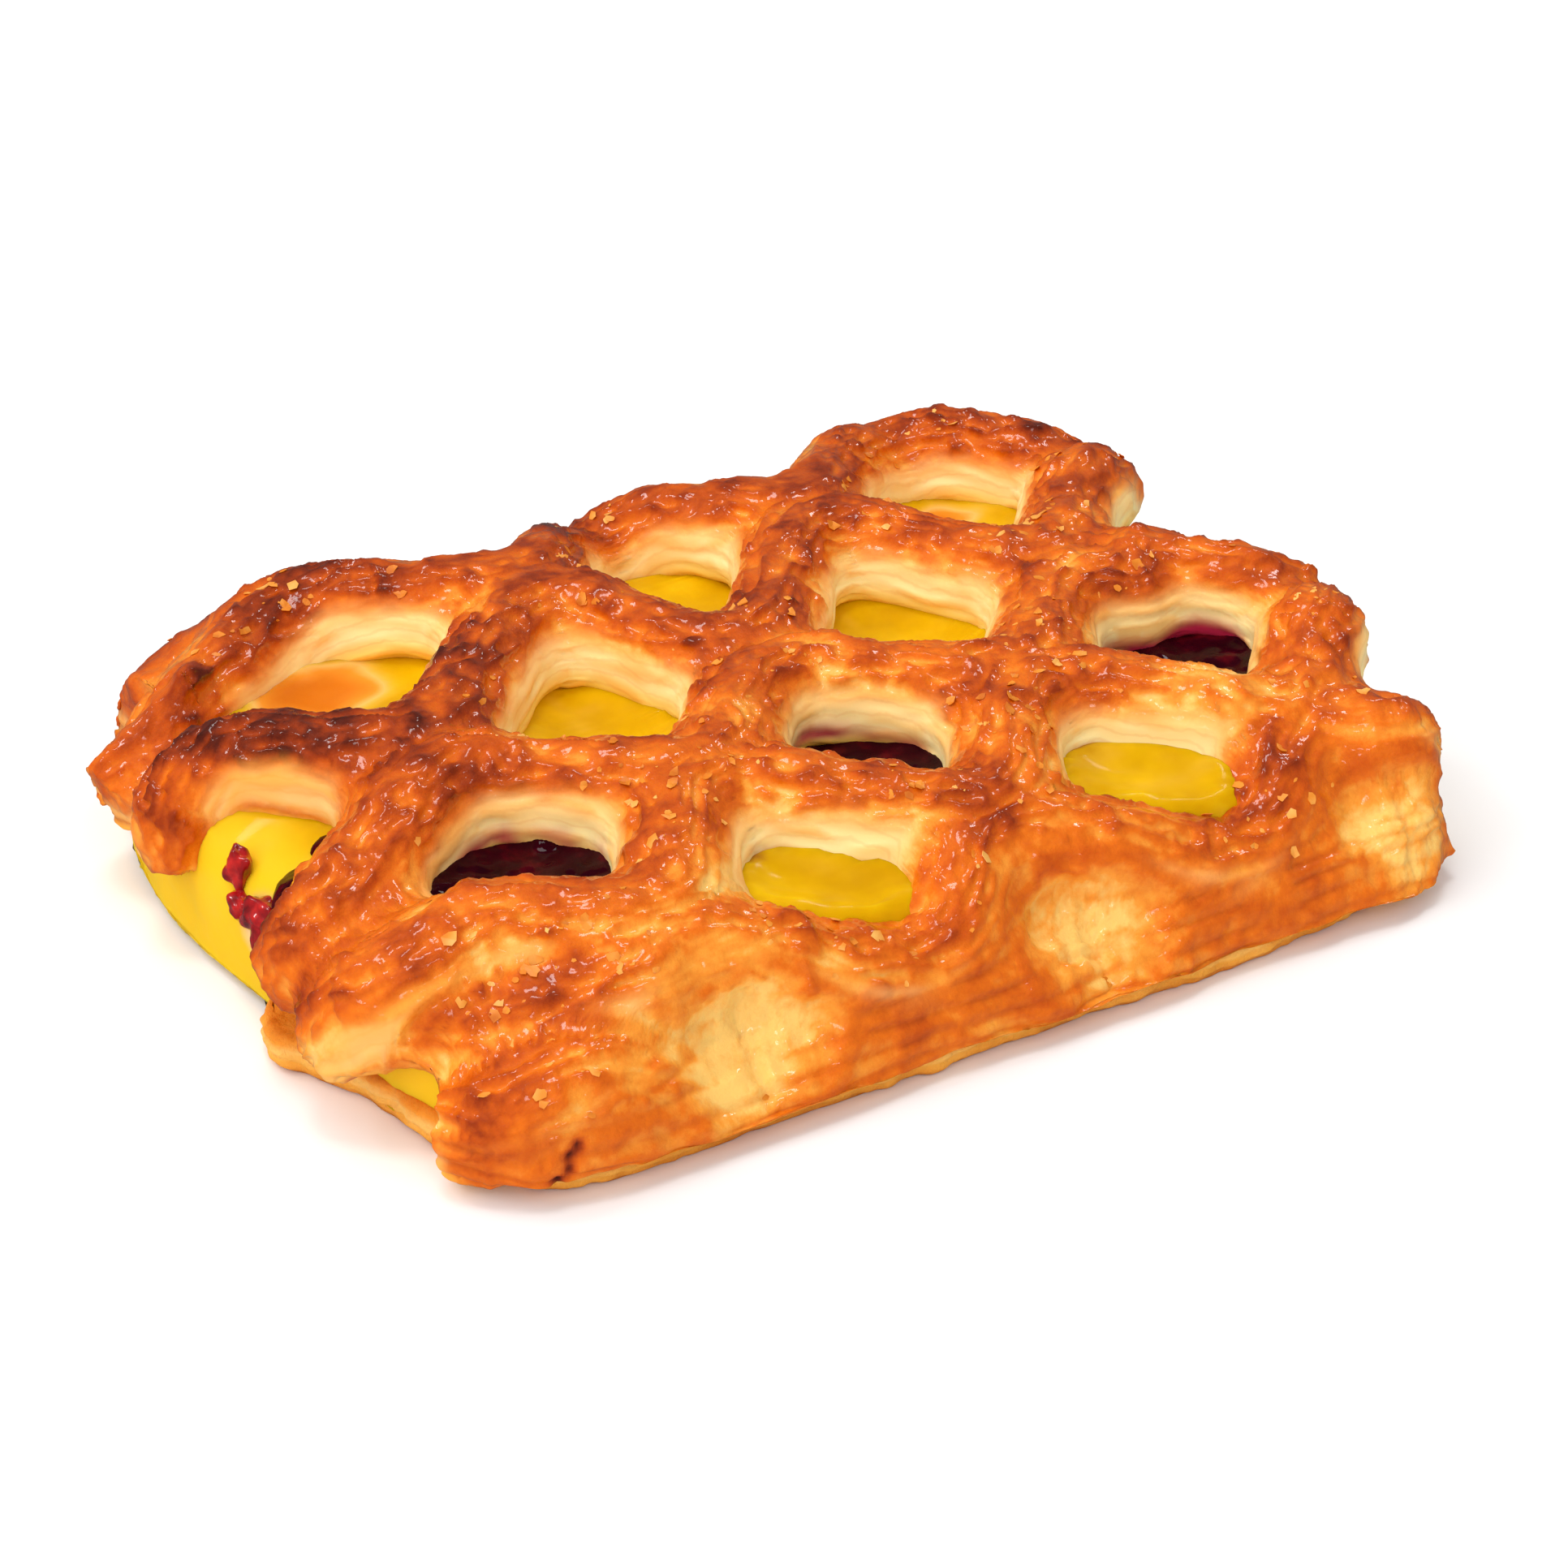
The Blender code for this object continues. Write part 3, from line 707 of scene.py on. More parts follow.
crust = np.maximum(np.maximum(crust, tip), on_edge * outward)
cut_line = hill(height + 0.8 * MM * noise(places, 5 * MM, 63), -CUT_LINE_LOW, CUT_LINE_WIDTH)
cut_line = cut_line * smoothstep(-0.044, -0.052, x) * (places[:, 2] > CUT_LINE_FLOOR)
crust = even_out(lattice, np.maximum(crust, 0.9 * cut_line), 4)
wall = 1 - crust
print("crust covers", round(100 * float((crust > 0.5).mean())), "% of the points")

# %% [markdown]
# Relief comes in layers, from large to small, and is counted in millimetres. Low swells make
# each thread uneven. Wrinkles run along the thread, because the crust dries while the dough below
# still stretches. Blisters stand on the ridges. On the cut walls thin layers stick out over each
# other every 2 mm or so, with torn fibres that run along them.

# %% Relief of crust and walls
SWELL, WALL_SWELL, CRUST_SINK = 0.34, 0.30, 0.25
WRINKLE, FINE_WRINKLE, BLISTER = 0.46, 0.14, 0.48
LAYER, FIBRE = 0.12, 0.24
LAYER_SPACING = 1.9 * MM
bent = [noise(places, 4 * MM, seed) for seed in (50, 51, 52)]
bent_strip = strip + 0.8 * MM * np.stack(bent, axis=1)
wrinkle = 1 - 2 * np.abs(noise(bent_strip / np.array([2.4, 1, 1]), 1.5 * MM, 3))
fine_wrinkle = 1 - 2 * np.abs(noise(bent_strip / np.array([1.6, 1, 1]), 0.85 * MM, 4))
blister = smoothstep(0.20, 0.60, noise(places, 1.9 * MM, 5))
blister = blister * smoothstep(-0.4, 0.4, noise(places, 8 * MM, 6))
swell = noise(places, 8 * MM, 7) + 0.5 * noise(places, 4 * MM, 8)
layer_height = height + 0.7 * MM * noise(places, 7 * MM, 9)
layer_height = layer_height + 0.25 * MM * noise(places, 2.5 * MM, 53)
layers = 0.5 - np.abs((layer_height / LAYER_SPACING) % 1.0 - 0.35)
fibre = noise(bent_strip / np.array([7, 1, 1]), 0.9 * MM, 10)
wall_swell = noise(strip / np.array([3, 1, 1]), 3 * MM, 58)

relief = SWELL * swell
ridges = WRINKLE * wrinkle + FINE_WRINKLE * fine_wrinkle + BLISTER * blister
relief += crust * (1 - 0.5 * on_edge) * ridges
relief += wall * (LAYER * layers + FIBRE * fibre + WALL_SWELL * wall_swell)
print("crust and walls rise and fall by", round(float(relief.std()), 2), "mm")

# %% [markdown]
# On a sealed edge each shut slit is a fold: its middle is drawn in, a low rim stands around it,
# and one crease runs through it. Low on the edge the sheet hangs in thin leathery steps, where
# its layers slid over each other.

# %% Relief of the folds
FOLD, FOLD_RIM, CREASE, CREASE_WIDTH, CRUMPLE = 0.55, 0.35, 0.70, 0.7 * MM, 0.40
LEATHER, LEATHER_SPACING = 0.32, 1.7 * MM
low_face = on_edge * smoothstep(14 * MM, 8.5 * MM, places[:, 2])
leather_wave = places[:, 2] + 0.5 * MM * noise(places / np.array([3, 1, 1]), 3 * MM, 54)
leather = hill((leather_wave / LEATHER_SPACING) % 1.0, 0.5, 0.17)
leather = leather * smoothstep(-0.7, 0.2, noise(places, 6 * MM, 55))
fold_edge = 0.28 * noise(places, 5 * MM, 62) + 0.12 * noise(places, 2 * MM, 67)
fold = smoothstep(0.22, 0.66, in_dimple + fold_edge) * on_edge
crease = hill(aside + 1.2 * MM * noise(places, 4 * MM, 56), 0.0, CREASE_WIDTH)
crumple = noise(places / np.array([1.0, 1.8, 1.8]), 1.6 * MM, 11)
relief += FOLD_RIM * on_edge * hill(in_dimple, 0.24, 0.12) - FOLD * fold
relief -= CREASE * on_edge * in_dimple * crease
relief += CRUMPLE * on_edge * in_dimple * crumple
relief -= LEATHER * low_face * leather
relief -= CRUST_SINK * crust
print("folds go", round(float(-relief[in_dimple > 0.5].min()), 1), "mm deep")

# %% [markdown]
# The sheet's lower rim hangs over the edge of the base like a thin curtain: its points sink and
# move outwards by a wavy amount. What lies inside the base's outline rests on it instead.

# %% Let the sheet settle on the base
TOP_LIMIT, SIDE_LIMIT, RIM_LIMIT = 0.0277, 0.0542, 1.0 * MM
ALONG_X = [1, 0, 0]
places = places + normals * relief[:, None] * MM
places[:, 2] = np.minimum(places[:, 2], TOP_LIMIT)
on_base = smoothstep(-0.0600, -0.0560, places[:, 0])
base_top = BASE_THICK - 0.3 * MM + 0.35 * MM * noise(places, 5 * MM, 15)
places[:, 2] += (np.maximum(places[:, 2], base_top) - places[:, 2]) * on_base
hang = smoothstep(8 * MM, 4.2 * MM, places[:, 2]) * on_base
hang = hang * smoothstep(0.046, 0.050, np.abs(places[:, 1]))
places[:, 2] -= (1.1 + 0.4 * noise(places * ALONG_X, 6 * MM, 16)) * MM * hang
outwards = (0.9 + 0.3 * noise(places * ALONG_X, 4 * MM, 17)) * MM * hang
places[:, 1] += outwards * np.sign(places[:, 1])
places[:, 2] = np.maximum(places[:, 2], RIM_LIMIT)
places[:, 1] = np.clip(places[:, 1], -SIDE_LIMIT, SIDE_LIMIT)
print("the lattice is", round(1000 * float(places[:, 2].max()), 1), "mm high")

# %% [markdown]
# Browning is one number from 0 to 1. Heat reaches the ridges first, so it grows with height on
# the thread, and this pastry was nearer the oven's hot side at its left and back left. Wide
# patches and small specks vary it. One crack, low at the left of the front edge, is nearly black:
# it is four small pits in a bent row. The scorch mask toasts the cut walls below the darkest
# crust, and the stain is the red that the raspberry left on the walls beside it.

# %% Patches and the crack
THREAD_BROWN = np.array([0.25, 0.26, 0.25, 0.25, 0.32, 0.33, 0.33])
THREAD_LEFT_HEAT = np.array([-0.06, -0.04, -0.02, 0.04, 0.08, 0.07, 0.10])
SPOTS = (  # middle, size, and how much browner or paler
    ((-0.036, 0.042, 0.024), 0.012, 0.08), ((-0.055, 0.014, 0.022), 0.008, 0.10),
    ((-0.065, -0.015, 0.012), 0.006, 0.32), ((-0.044, 0.001, 0.024), 0.012, 0.06),
    ((-0.0225, -0.052, 0.015), 0.0026, 0.40), ((0.015, -0.053, 0.016), 0.0026, 0.36),
    ((0.061, -0.013, 0.022), 0.0030, 0.40), ((-0.060, -0.047, 0.008), 0.0040, 0.22),
    ((-0.065, -0.0265, 0.007), 0.0040, 0.22), ((0.020, -0.026, 0.022), 0.009, 0.10),
    ((0.040, -0.044, 0.018), 0.006, 0.16), ((0.004, -0.050, 0.017), 0.006, 0.10),
    ((-0.032, -0.046, 0.012), 0.0075, -0.16), ((0.0092, -0.052, 0.013), 0.006, -0.11),
    ((0.048, -0.051, 0.013), 0.006, -0.09), ((-0.0274, -0.037, 0.020), 0.006, -0.16),
    ((0.0385, -0.0345, 0.021), 0.0065, -0.24), ((-0.0497, -0.0415, 0.009), 0.0035, -0.18),
)
CRACK_PITS = ((-0.0522, -0.0535, 0.0064), (-0.0531, -0.0535, 0.0054),
              (-0.0533, -0.0535, 0.0040), (-0.0545, -0.0530, 0.0030))
CRACK_SIZE, CRACK_DEPTH, CRACK_BROWN = [0.6 * MM, 2.0 * MM, 0.7 * MM], 0.7 * MM, 0.55
left_heat = THREAD_LEFT_HEAT[thread_of] * smoothstep(-0.012, -0.055, places[:, 0])
brown = even_out(lattice, THREAD_BROWN[thread_of] + left_heat, 14)
for middle, size, amount in SPOTS:
    brown += amount * np.exp(-((places - middle) ** 2).sum(axis=1) / size**2)
for middle in CRACK_PITS:
    pit = np.exp(-(((places - middle) / CRACK_SIZE) ** 2).sum(axis=1))
    places -= normals * (CRACK_DEPTH * pit)[:, None]
    brown += CRACK_BROWN * pit
print("before the relief tints it, browning runs from", round(float(brown.min()), 2), "to",
      round(float(brown.max()), 2))

# %% Browning by height, noise and relief
ridge = smoothstep(1.5 * MM, 5.2 * MM, height)
off_edge = 1 - 0.5 * on_edge
brown += 0.24 * (ridge - 0.6) * (1 - on_edge)
brown += off_edge * (0.14 * noise(places, 9 * MM, 12) + 0.13 * noise(places, 3.6 * MM, 13))
brown += off_edge * (0.15 * wrinkle * crust + 0.14 * blister + 0.09 * fine_wrinkle) - 0.03
brown += 0.07 * low_face * leather - 0.08 * in_dimple * on_edge - 0.12 * fold
brown += 0.06 * low_face * (1 - fold)
# Painted shade: the upper rim of each fold is browned, standing in for the shadow under its
# overhanging lip.
brown += 0.14 * on_edge * hill(in_dimple, 0.18, 0.09) * smoothstep(0.010, 0.015, places[:, 2])
brown = np.clip(brown, 0, 1)
print("browning runs from", round(float(brown.min()), 2), "to", round(float(brown.max()), 2))

# %% Scorch and stain on the walls
END_SCORCH = np.array([0.7, 0.75, 0.7, 0.6, 0.6, 0.6, 0.6])  # for each thread's left end
FRUIT_ROW = 3
end_scorch = END_SCORCH[thread_of] * smoothstep(-0.040, -0.056, places[:, 0])
scorch = np.maximum(0.8 * smoothstep(0.42, 0.95, brown), end_scorch)
scorch = even_out(lattice, scorch, 8)
from_fruit = np.abs(places[:, 1] - ROW_Y[FRUIT_ROW] - 0.002)
wet_height = height + 0.8 * MM * noise(places, 3 * MM, 59)
stain = smoothstep(15 * MM, 10 * MM, from_fruit) * smoothstep(-0.2 * MM, -2.8 * MM, wet_height)
stain = stain * wall * smoothstep(-0.7, 0.3, noise(places, 3 * MM, 14))
write(lattice, places + CENTRING, crust=crust, brown=brown, stain=stain, scorch=scorch,
      fibre=fibre, layer=height / MM)
print("the raspberry stains", round(100 * float((stain > 0.3).mean()), 1), "% of the points")

# %% [markdown]
# Where two threads part, the pull tears thin leaves of dough loose. They dry to crisp golden
# flakes that stick in the egg wash. Each is a small sheet with a ragged rim, bent a little, and
# laid on the crust with one side lifted. More of them lie near the bonds.

# %% Golden flakes
FLAKE_COUNT = 380
FLAKE_TOP, FLAKE_LEFT = 0.0270, -0.0590
FLAKE_FACES = (-0.03 * MM, 0.04 * MM)  # its underside and its top
FLAKE_MIDDLES = (-0.08 * MM, 0.05 * MM)


def flake(shape, centre, normal, size, random):
    """Adds one thin ragged leaf of dough that lies on the surface."""
    one_way = np.cross(normal, [0.3, 0.9, 0.1])
    one_way /= np.linalg.norm(one_way)
    other_way = np.cross(normal, one_way)
    spin, bend = random.uniform(0, 2 * math.pi), random.uniform(-0.15, 0.45)
    lift, slim = random.uniform(-0.3, 0.3), random.uniform(0.55, 1.0)
    corners = int(random.integers(5, 9))
    ragged = random.uniform(0.55, 1.15, corners)
    rims = []
    for thickness in FLAKE_FACES:
        rim = []
        for corner in range(corners):
            angle = 2 * math.pi * (corner + 0.3 * ragged[corner]) / corners
            u = size * ragged[corner] * math.cos(angle)
            v = slim * size * ragged[corner] * math.sin(angle)
            up = bend * u * u / size + lift * v + thickness
            a = u * math.cos(spin) - v * math.sin(spin)
            b = u * math.sin(spin) + v * math.cos(spin)
            rim.append(shape.verts.new(centre + a * one_way + b * other_way + up * normal))
        rims.append(rim)
    low, high = (shape.verts.new(centre + middle * normal) for middle in FLAKE_MIDDLES)
    for corner in range(corners):
        following = (corner + 1) % corners
        shape.faces.new((rims[0][following], rims[0][corner], low))
        shape.faces.new((rims[1][corner], rims[1][following], high))
        shape.faces.new((rims[0][corner], rims[0][following], rims[1][following],
                         rims[1][corner]))


bond = smoothstep(15 * MM, 10.5 * MM, np.concatenate(apart))[which]
_, bare_normals = read(lattice)
chance = (0.06 + bond) * smoothstep(0.7, 0.95, crust) * smoothstep(0.25, 0.8, bare_normals[:, 2])
chance *= (1 - 0.9 * on_edge) * smoothstep(-0.2, 0.6, noise(places, 7 * MM, 57) + 0.2)
chance *= (places[:, 2] < FLAKE_TOP) * (places[:, 0] > FLAKE_LEFT)
random = np.random.default_rng(11)
shape = bmesh.new()
chosen = random.choice(len(places), FLAKE_COUNT, replace=False, p=chance / chance.sum())
for number in chosen:
    size = random.uniform(0.22, 1.0) ** 1.3 * MM
    flake(shape, places[number] + CENTRING, bare_normals[number], size, random)
flakes = mesh_of(shape, "golden_flakes")
flakes.data.shade_flat()
print("laid", len(chosen), "flakes")

# %% [markdown]
# ## The custard
#
# Baked custard sets as a smooth, slightly wavy mound that sticks to the dough above it. It starts
# as a ball that is flattened towards a box, with a nose at the open end.

# %% The custard mound
BLUNT_END = {"left": 0.5, "right": 0.35}
NOSE_Y, NOSE_HALF_WIDTH, NOSE_REACH = 0.0125, 0.0200, 0.0024
MOUND_FLOOR = 1.2 * MM
shape = bmesh.new()
bmesh.ops.create_uvsphere(shape, u_segments=320, v_segments=170, radius=1.0)
way = np.array([vert.co[:] for vert in shape.verts])
share = way * (np.abs(way) ** MOUND_POWER).sum(axis=1)[:, None] ** (-1 / MOUND_POWER)
blunt = np.where(share[:, 0] < 0, BLUNT_END["left"], BLUNT_END["right"])
x = np.sign(share[:, 0]) * np.abs(share[:, 0]) ** blunt * MOUND_HALF[0]
y = share[:, 1] * MOUND_HALF[1]
nose = NOSE_REACH * hill(y, NOSE_Y, NOSE_HALF_WIDTH) * (np.abs(x) / MOUND_HALF[0]) ** 3
x = np.where(x < 0, x - nose, x)
mound = np.stack([x, y, np.maximum(share[:, 2] * MOUND_HALF[2], MOUND_FLOOR)], axis=1)
for vert, place in zip(shape.verts, mound):
    vert.co = place
custard = mesh_of(shape, "baked_custard")
print("the mound is", [round(1000 * side, 1) for side in np.ptp(mound, axis=0)], "mm")

# %% [markdown]
# Where the custard meets the dough it climbs a little, as any liquid does before it sets. Under
# the front row of wide holes it leaves a bed for the raspberry, which follows a winding line.

# %% The custard settles around dough and fruit
BERRY_PATH = ((0.0600, 0.0012), (0.0320, 0.0022), (0.0020, 0.0012), (-0.0280, 0.0007),
              (-0.0440, 0.0028), (-0.0520, 0.0110), (-0.0560, 0.0190))  # X, and Y off its row
CLIMB, CLIMB_REACH, BED_DEPTH = 2.0 * MM, 2.3 * MM, 3.4 * MM
FOOT_DRAWN_IN, FOOT_FROM = 2.4 * MM, 0.050
berry_line = even_path([(bx, ROW_Y[FRUIT_ROW] + by, 0.0) for bx, by in BERRY_PATH])
dough_points = read(lattice)[0][::3] - CENTRING
places, normals = read(custard)
_, from_fruit = nearest(places * [1, 1, 0], berry_line)
_, gap = nearest(places, dough_points)
facing_up = smoothstep(0.2, 0.8, normals[:, 2])
climb = np.exp(-gap / CLIMB_REACH) * facing_up * smoothstep(0.0420, 0.0370, places[:, 1])
bed_edge = from_fruit + 0.4 * MM * noise(places, 3 * MM, 25)
bed = smoothstep(9.8 * MM, 8.4 * MM, bed_edge) * facing_up
bed = bed * smoothstep(-0.0520, -0.0470, places[:, 0])
relief = 0.35 * noise(places, 9 * MM, 20) + 0.12 * noise(places, 3 * MM, 21)
relief = relief + 0.04 * noise(places, 1 * MM, 22)
places = places + normals * (relief * MM)[:, None] * 0.8
places[:, 2] += CLIMB * climb * (1 - bed) - BED_DEPTH * bed
places[:, 2] = np.maximum(places[:, 2], MOUND_FLOOR)
foot = smoothstep(5.4 * MM, 4.2 * MM, places[:, 2]) * (places[:, 0] > FOOT_FROM)
places[:, 0] -= FOOT_DRAWN_IN * foot
print("the custard now reaches", round(1000 * float(places[:, 2].max()), 1), "mm up")

# %% [markdown]
# Four masks colour the custard: toasted patches in two back holes, the red blush along the fruit,
# a rose tint at the nose, and painted light that makes the nose at the open end lighter.

# %% Masks of the custard
TOASTED = ((-0.040, 0.027, 0.0085, 0.0060), (0.042, 0.030, 0.008, 0.004))  # X, Y, half sizes
ROSE_MIDDLE, ROSE_HALF = [-0.0605, -0.0058, 0.0090], [0.005, 0.0052, 0.0046]
x, y, z = places.T
patch = np.zeros(len(places))
for px, py, half_x, half_y in TOASTED:
    patch = np.maximum(patch, 1.25 - np.hypot((x - px) / half_x, (y - py) / half_y))
patch = smoothstep(0.0, 0.9, patch + 0.18 * noise(places, 3 * MM, 23))
blush = smoothstep(11 * MM, 9.4 * MM, from_fruit + 1 * MM * noise(places, 2.5 * MM, 24))
blush = blush * smoothstep(-0.0540, -0.0490, x)
blush = blush * smoothstep(8.5 * MM, 11 * MM, z + 1 * MM * noise(places, 3 * MM, 27))
rose = 1.15 - np.linalg.norm((places - ROSE_MIDDLE) / ROSE_HALF, axis=1)
rose = smoothstep(0.0, 0.6, rose + 0.25 * noise(places, 3 * MM, 26))
# Painted light: the custard's nose at the open end is coloured lighter, standing in for the light
# that falls on it from the left.
thin_end = smoothstep(-0.0540, -0.0600, x)
write(custard, places + CENTRING, patch=patch, blush=blush, rose=rose, thin_end=thin_end)
print("the custard has", len(places), "points")

# %% [markdown]
# ## The raspberry filling
#
# Cooked raspberries fall apart into a thick, dark, shining pulp with lumps in it. A band is swept
# along the fruit's line, and about a hundred small flat balls of pulp are melted into its top.

# %% The raspberry band
BERRY_LEVEL, BERRY_HALF_WIDTH, BERRY_HALF_HEIGHT = 0.0124, 0.0103, 0.0044
BERRY_LUMPS = (((-0.0585, 0.0020, 0.0098), 0.0026), ((-0.0588, -0.0050, 0.0080), 0.0032))
PULP_COUNT, PULP_FLATNESS, PULP_SUNK = 110, 0.5, 0.30


def ball(name, centre, radius, squash=1.0):
    """A small round lump."""
    shape = bmesh.new()
    bmesh.ops.create_icosphere(shape, subdivisions=2, radius=radius)
    bmesh.ops.scale(shape, verts=shape.verts, vec=(1, 1, squash))
    bmesh.ops.translate(shape, verts=shape.verts, vec=centre)
    return mesh_of(shape, name)


berry_line[:, 2] = BERRY_LEVEL
berry_profile = dough_profile("berry_profile", BERRY_HALF_WIDTH, BERRY_HALF_HEIGHT, 3.0, 3.0, 0.0)
pulp = [sweep("berry_band", berry_line, berry_profile, tapered(berry_line, 0.45, 0.45, 6 * MM))]
random = np.random.default_rng(5)
for number in range(PULP_COUNT):
    at = berry_line[random.integers(3, len(berry_line) - 3)]
    side = random.uniform(-0.0085, 0.0085)
    size = random.uniform(0.0014, 0.0026)
    top = BERRY_HALF_HEIGHT * (1 - (abs(side) / BERRY_HALF_WIDTH) ** 3) ** (1 / 3)
    centre = (at[0], at[1] + side, at[2] + top - PULP_SUNK * size)
    pulp.append(ball(f"pulp_{number}", centre, size, PULP_FLATNESS))
for number, (centre, radius) in enumerate(BERRY_LUMPS):
    pulp.append(ball(f"lump_{number}", centre, radius))
raspberry = melt("raspberry_pulp", pulp, 0.00045, 2)
bpy.data.objects.remove(berry_profile)

places, normals = read(raspberry)
relief = 0.22 * noise(places, 2.2 * MM, 30) + 0.08 * noise(places, 0.9 * MM, 31)
_, gap = nearest(places, dough_points)
places[:, 2] += 0.8 * MM * np.exp(-gap / (1.5 * MM)) * smoothstep(0.2, 0.8, normals[:, 2])
write(raspberry, places + normals * (relief * MM)[:, None] + CENTRING)
print("the raspberry has", len(places), "points")

# %% [markdown]
# At the open end a few torn lumps of fruit lie half sunk in the custard's skin. They are thin
# enough for light to pass, so they look bright red. They are faceted and wrinkled, as torn pulp is.

# %% Torn lumps of fruit
TORN_LUMPS = (  # middle and half sizes
    ((-0.0606, 0.0014, 0.0118), (0.0014, 0.0018, 0.0027)),
    ((-0.0606, -0.0006, 0.0096), (0.0014, 0.0024, 0.0016)),
    ((-0.0610, -0.0040, 0.0104), (0.0018, 0.0030, 0.0020)),
    ((-0.0618, -0.0062, 0.0088), (0.0018, 0.0024, 0.0022)),
)
shape = bmesh.new()
skin_points, _ = read(custard)
for centre, half_sizes in TORN_LUMPS:
    centre = skin_points[nearest([np.array(centre) + CENTRING], skin_points)[0][0]]
    made = bmesh.ops.create_icosphere(shape, subdivisions=4, radius=1.0)["verts"]
    way = np.array([vert.co[:] for vert in made])
    own_place = way + centre / MM
    rough = 1 + 0.32 * noise(own_place, 0.6, 60) + 0.14 * noise(own_place, 0.35, 61)
    for vert, place in zip(made, way * rough[:, None] * np.array(half_sizes) + centre):
        vert.co = place
torn_fruit = mesh_of(shape, "torn_fruit")
print("the torn lumps have", len(torn_fruit.data.vertices), "points")

# %% [markdown]
# ## The base
#
# The bottom sheet is the same layered dough, baked flat on the tray. Its outline is a rounded
# rectangle with a tongue under the custard's nose, a notch beside it and a small lip at the front.
# Its side bulges between the tray and the seam and shows its layers as fine ridges.

# %% The base's outline
BASE_CORNER_POWER = 6.0
TONGUE = NOTCH = 0.0060
LIP = 0.0030
turn = np.linspace(0, 2 * math.pi, 900, endpoint=False)
cosine, sine = np.cos(turn), np.sin(turn)
reach = np.abs(cosine) ** BASE_CORNER_POWER + np.abs(sine) ** BASE_CORNER_POWER
reach = reach ** (-1 / BASE_CORNER_POWER)
rim_x, rim_y = cosine * reach * BASE_LENGTH / 2, sine * reach * BASE_WIDTH / 2
left = (rim_x < 0) & (np.abs(rim_x) > BASE_LENGTH / 4)
tongue = TONGUE * np.exp(-((rim_y - NOSE_Y) / NOSE_HALF_WIDTH) ** 4)
rim_x = rim_x + left * (tongue - NOTCH * hill(rim_y, -0.0130, 0.0100))
rim_y = rim_y - (rim_y < 0) * LIP * hill(rim_x, -0.0540, 0.0100)
rim = np.stack([rim_x, rim_y, 0 * rim_x], 1)
ragged = 1 + 0.006 * noise(rim, 6 * MM, 64) + 0.005 * noise(rim, 2 * MM, 65)
rim_x, rim_y = rim_x * ragged, rim_y * ragged
print("the base is", round(1000 * float(np.ptp(rim_x)), 1), "mm long")

# %% The base's mesh and relief
BASE_RINGS = 20
BULGE = 1.6 * MM
RIDGE_SPACING = 1.1 * MM
shape = bmesh.new()
rings = []
for level in range(BASE_RINGS + 1):
    angle = math.pi * (level / BASE_RINGS - 0.5)
    inset = BULGE * (1 - abs(math.cos(angle)) ** 0.7)
    z = BASE_THICK / 2 * (1 + math.sin(angle))
    ring_x = rim_x * (1 - inset / (BASE_LENGTH / 2))
    ring_y = rim_y * (1 - inset / (BASE_WIDTH / 2))
    rings.append([shape.verts.new((px, py, z)) for px, py in zip(ring_x, ring_y)])
for lower, upper in zip(rings, rings[1:]):
    for i in range(len(lower)):
        j = (i + 1) % len(lower)
        shape.faces.new((lower[i], lower[j], upper[j], upper[i]))
shape.faces.new(rings[0])
shape.faces.new(rings[-1])
bmesh.ops.triangulate(shape, faces=[face for face in shape.faces if len(face.verts) > 4])
base = mesh_of(shape, "baked_base")

places, normals = read(base)
side = 1 - np.abs(normals[:, 2])
ridge_wave = 0.9 * noise(places / np.array([2, 2, 1]), 5 * MM, 40)
ridges = np.abs((places[:, 2] / RIDGE_SPACING + ridge_wave) % 1.0 - 0.45)
side_relief = (0.5 - ridges) - 0.25
side_relief = side_relief + 0.35 * noise(places, 4 * MM, 41) + 0.22 * noise(places, 1.3 * MM, 42)
relief = 0.35 * noise(places, 3 * MM, 43) + 0.15 * noise(places, 1.2 * MM, 66)
relief = relief + side * side_relief
places = places + normals * (relief * MM)[:, None] * (places[:, 2:3] > 0.2 * MM)
places[:, 2] = np.maximum(places[:, 2], 0.0)
write(base, places + CENTRING, layer=places[:, 2] / MM)
print("the base has", len(places), "points")

# %% [markdown]
# ## Materials
#
# Each material starts as an empty Principled shader. What is the same all over the surface is set
# on the shader's own sockets, and masks and noise only feed the rest. A noise texture's Scale is
# how many grains fit in a metre, so one function works it out from a grain's real size.

# %% Helpers for materials
def new_material(name, **values):
    """A material whose shader has these values on its own sockets, its node tree, and the
    shader's inputs."""
    made = bpy.data.materials.new(name)
    made.use_nodes = True
    surface = made.node_tree.nodes["Principled BSDF"]
    for key, value in values.items():
        surface.inputs[key.replace("_", " ")].default_value = value
    return made, made.node_tree, surface.inputs


def grains(size):
    """The Scale of a noise texture whose grains are this many millimetres wide."""
    return 1 / (size * MM)


print("grains of 2 mm need a scale of", grains(2))

# %% [markdown]
# Crust is egg-washed, baked dough. The wash dries to a thin clear skin, so the crust is a rough
# brown body under a glossy coat with soft waves in it, which breaks each lamp into small
# sparkles. Its colour runs from pale gold to nearly black mahogany with the browning mask, which
# two noises mottle and fleck.

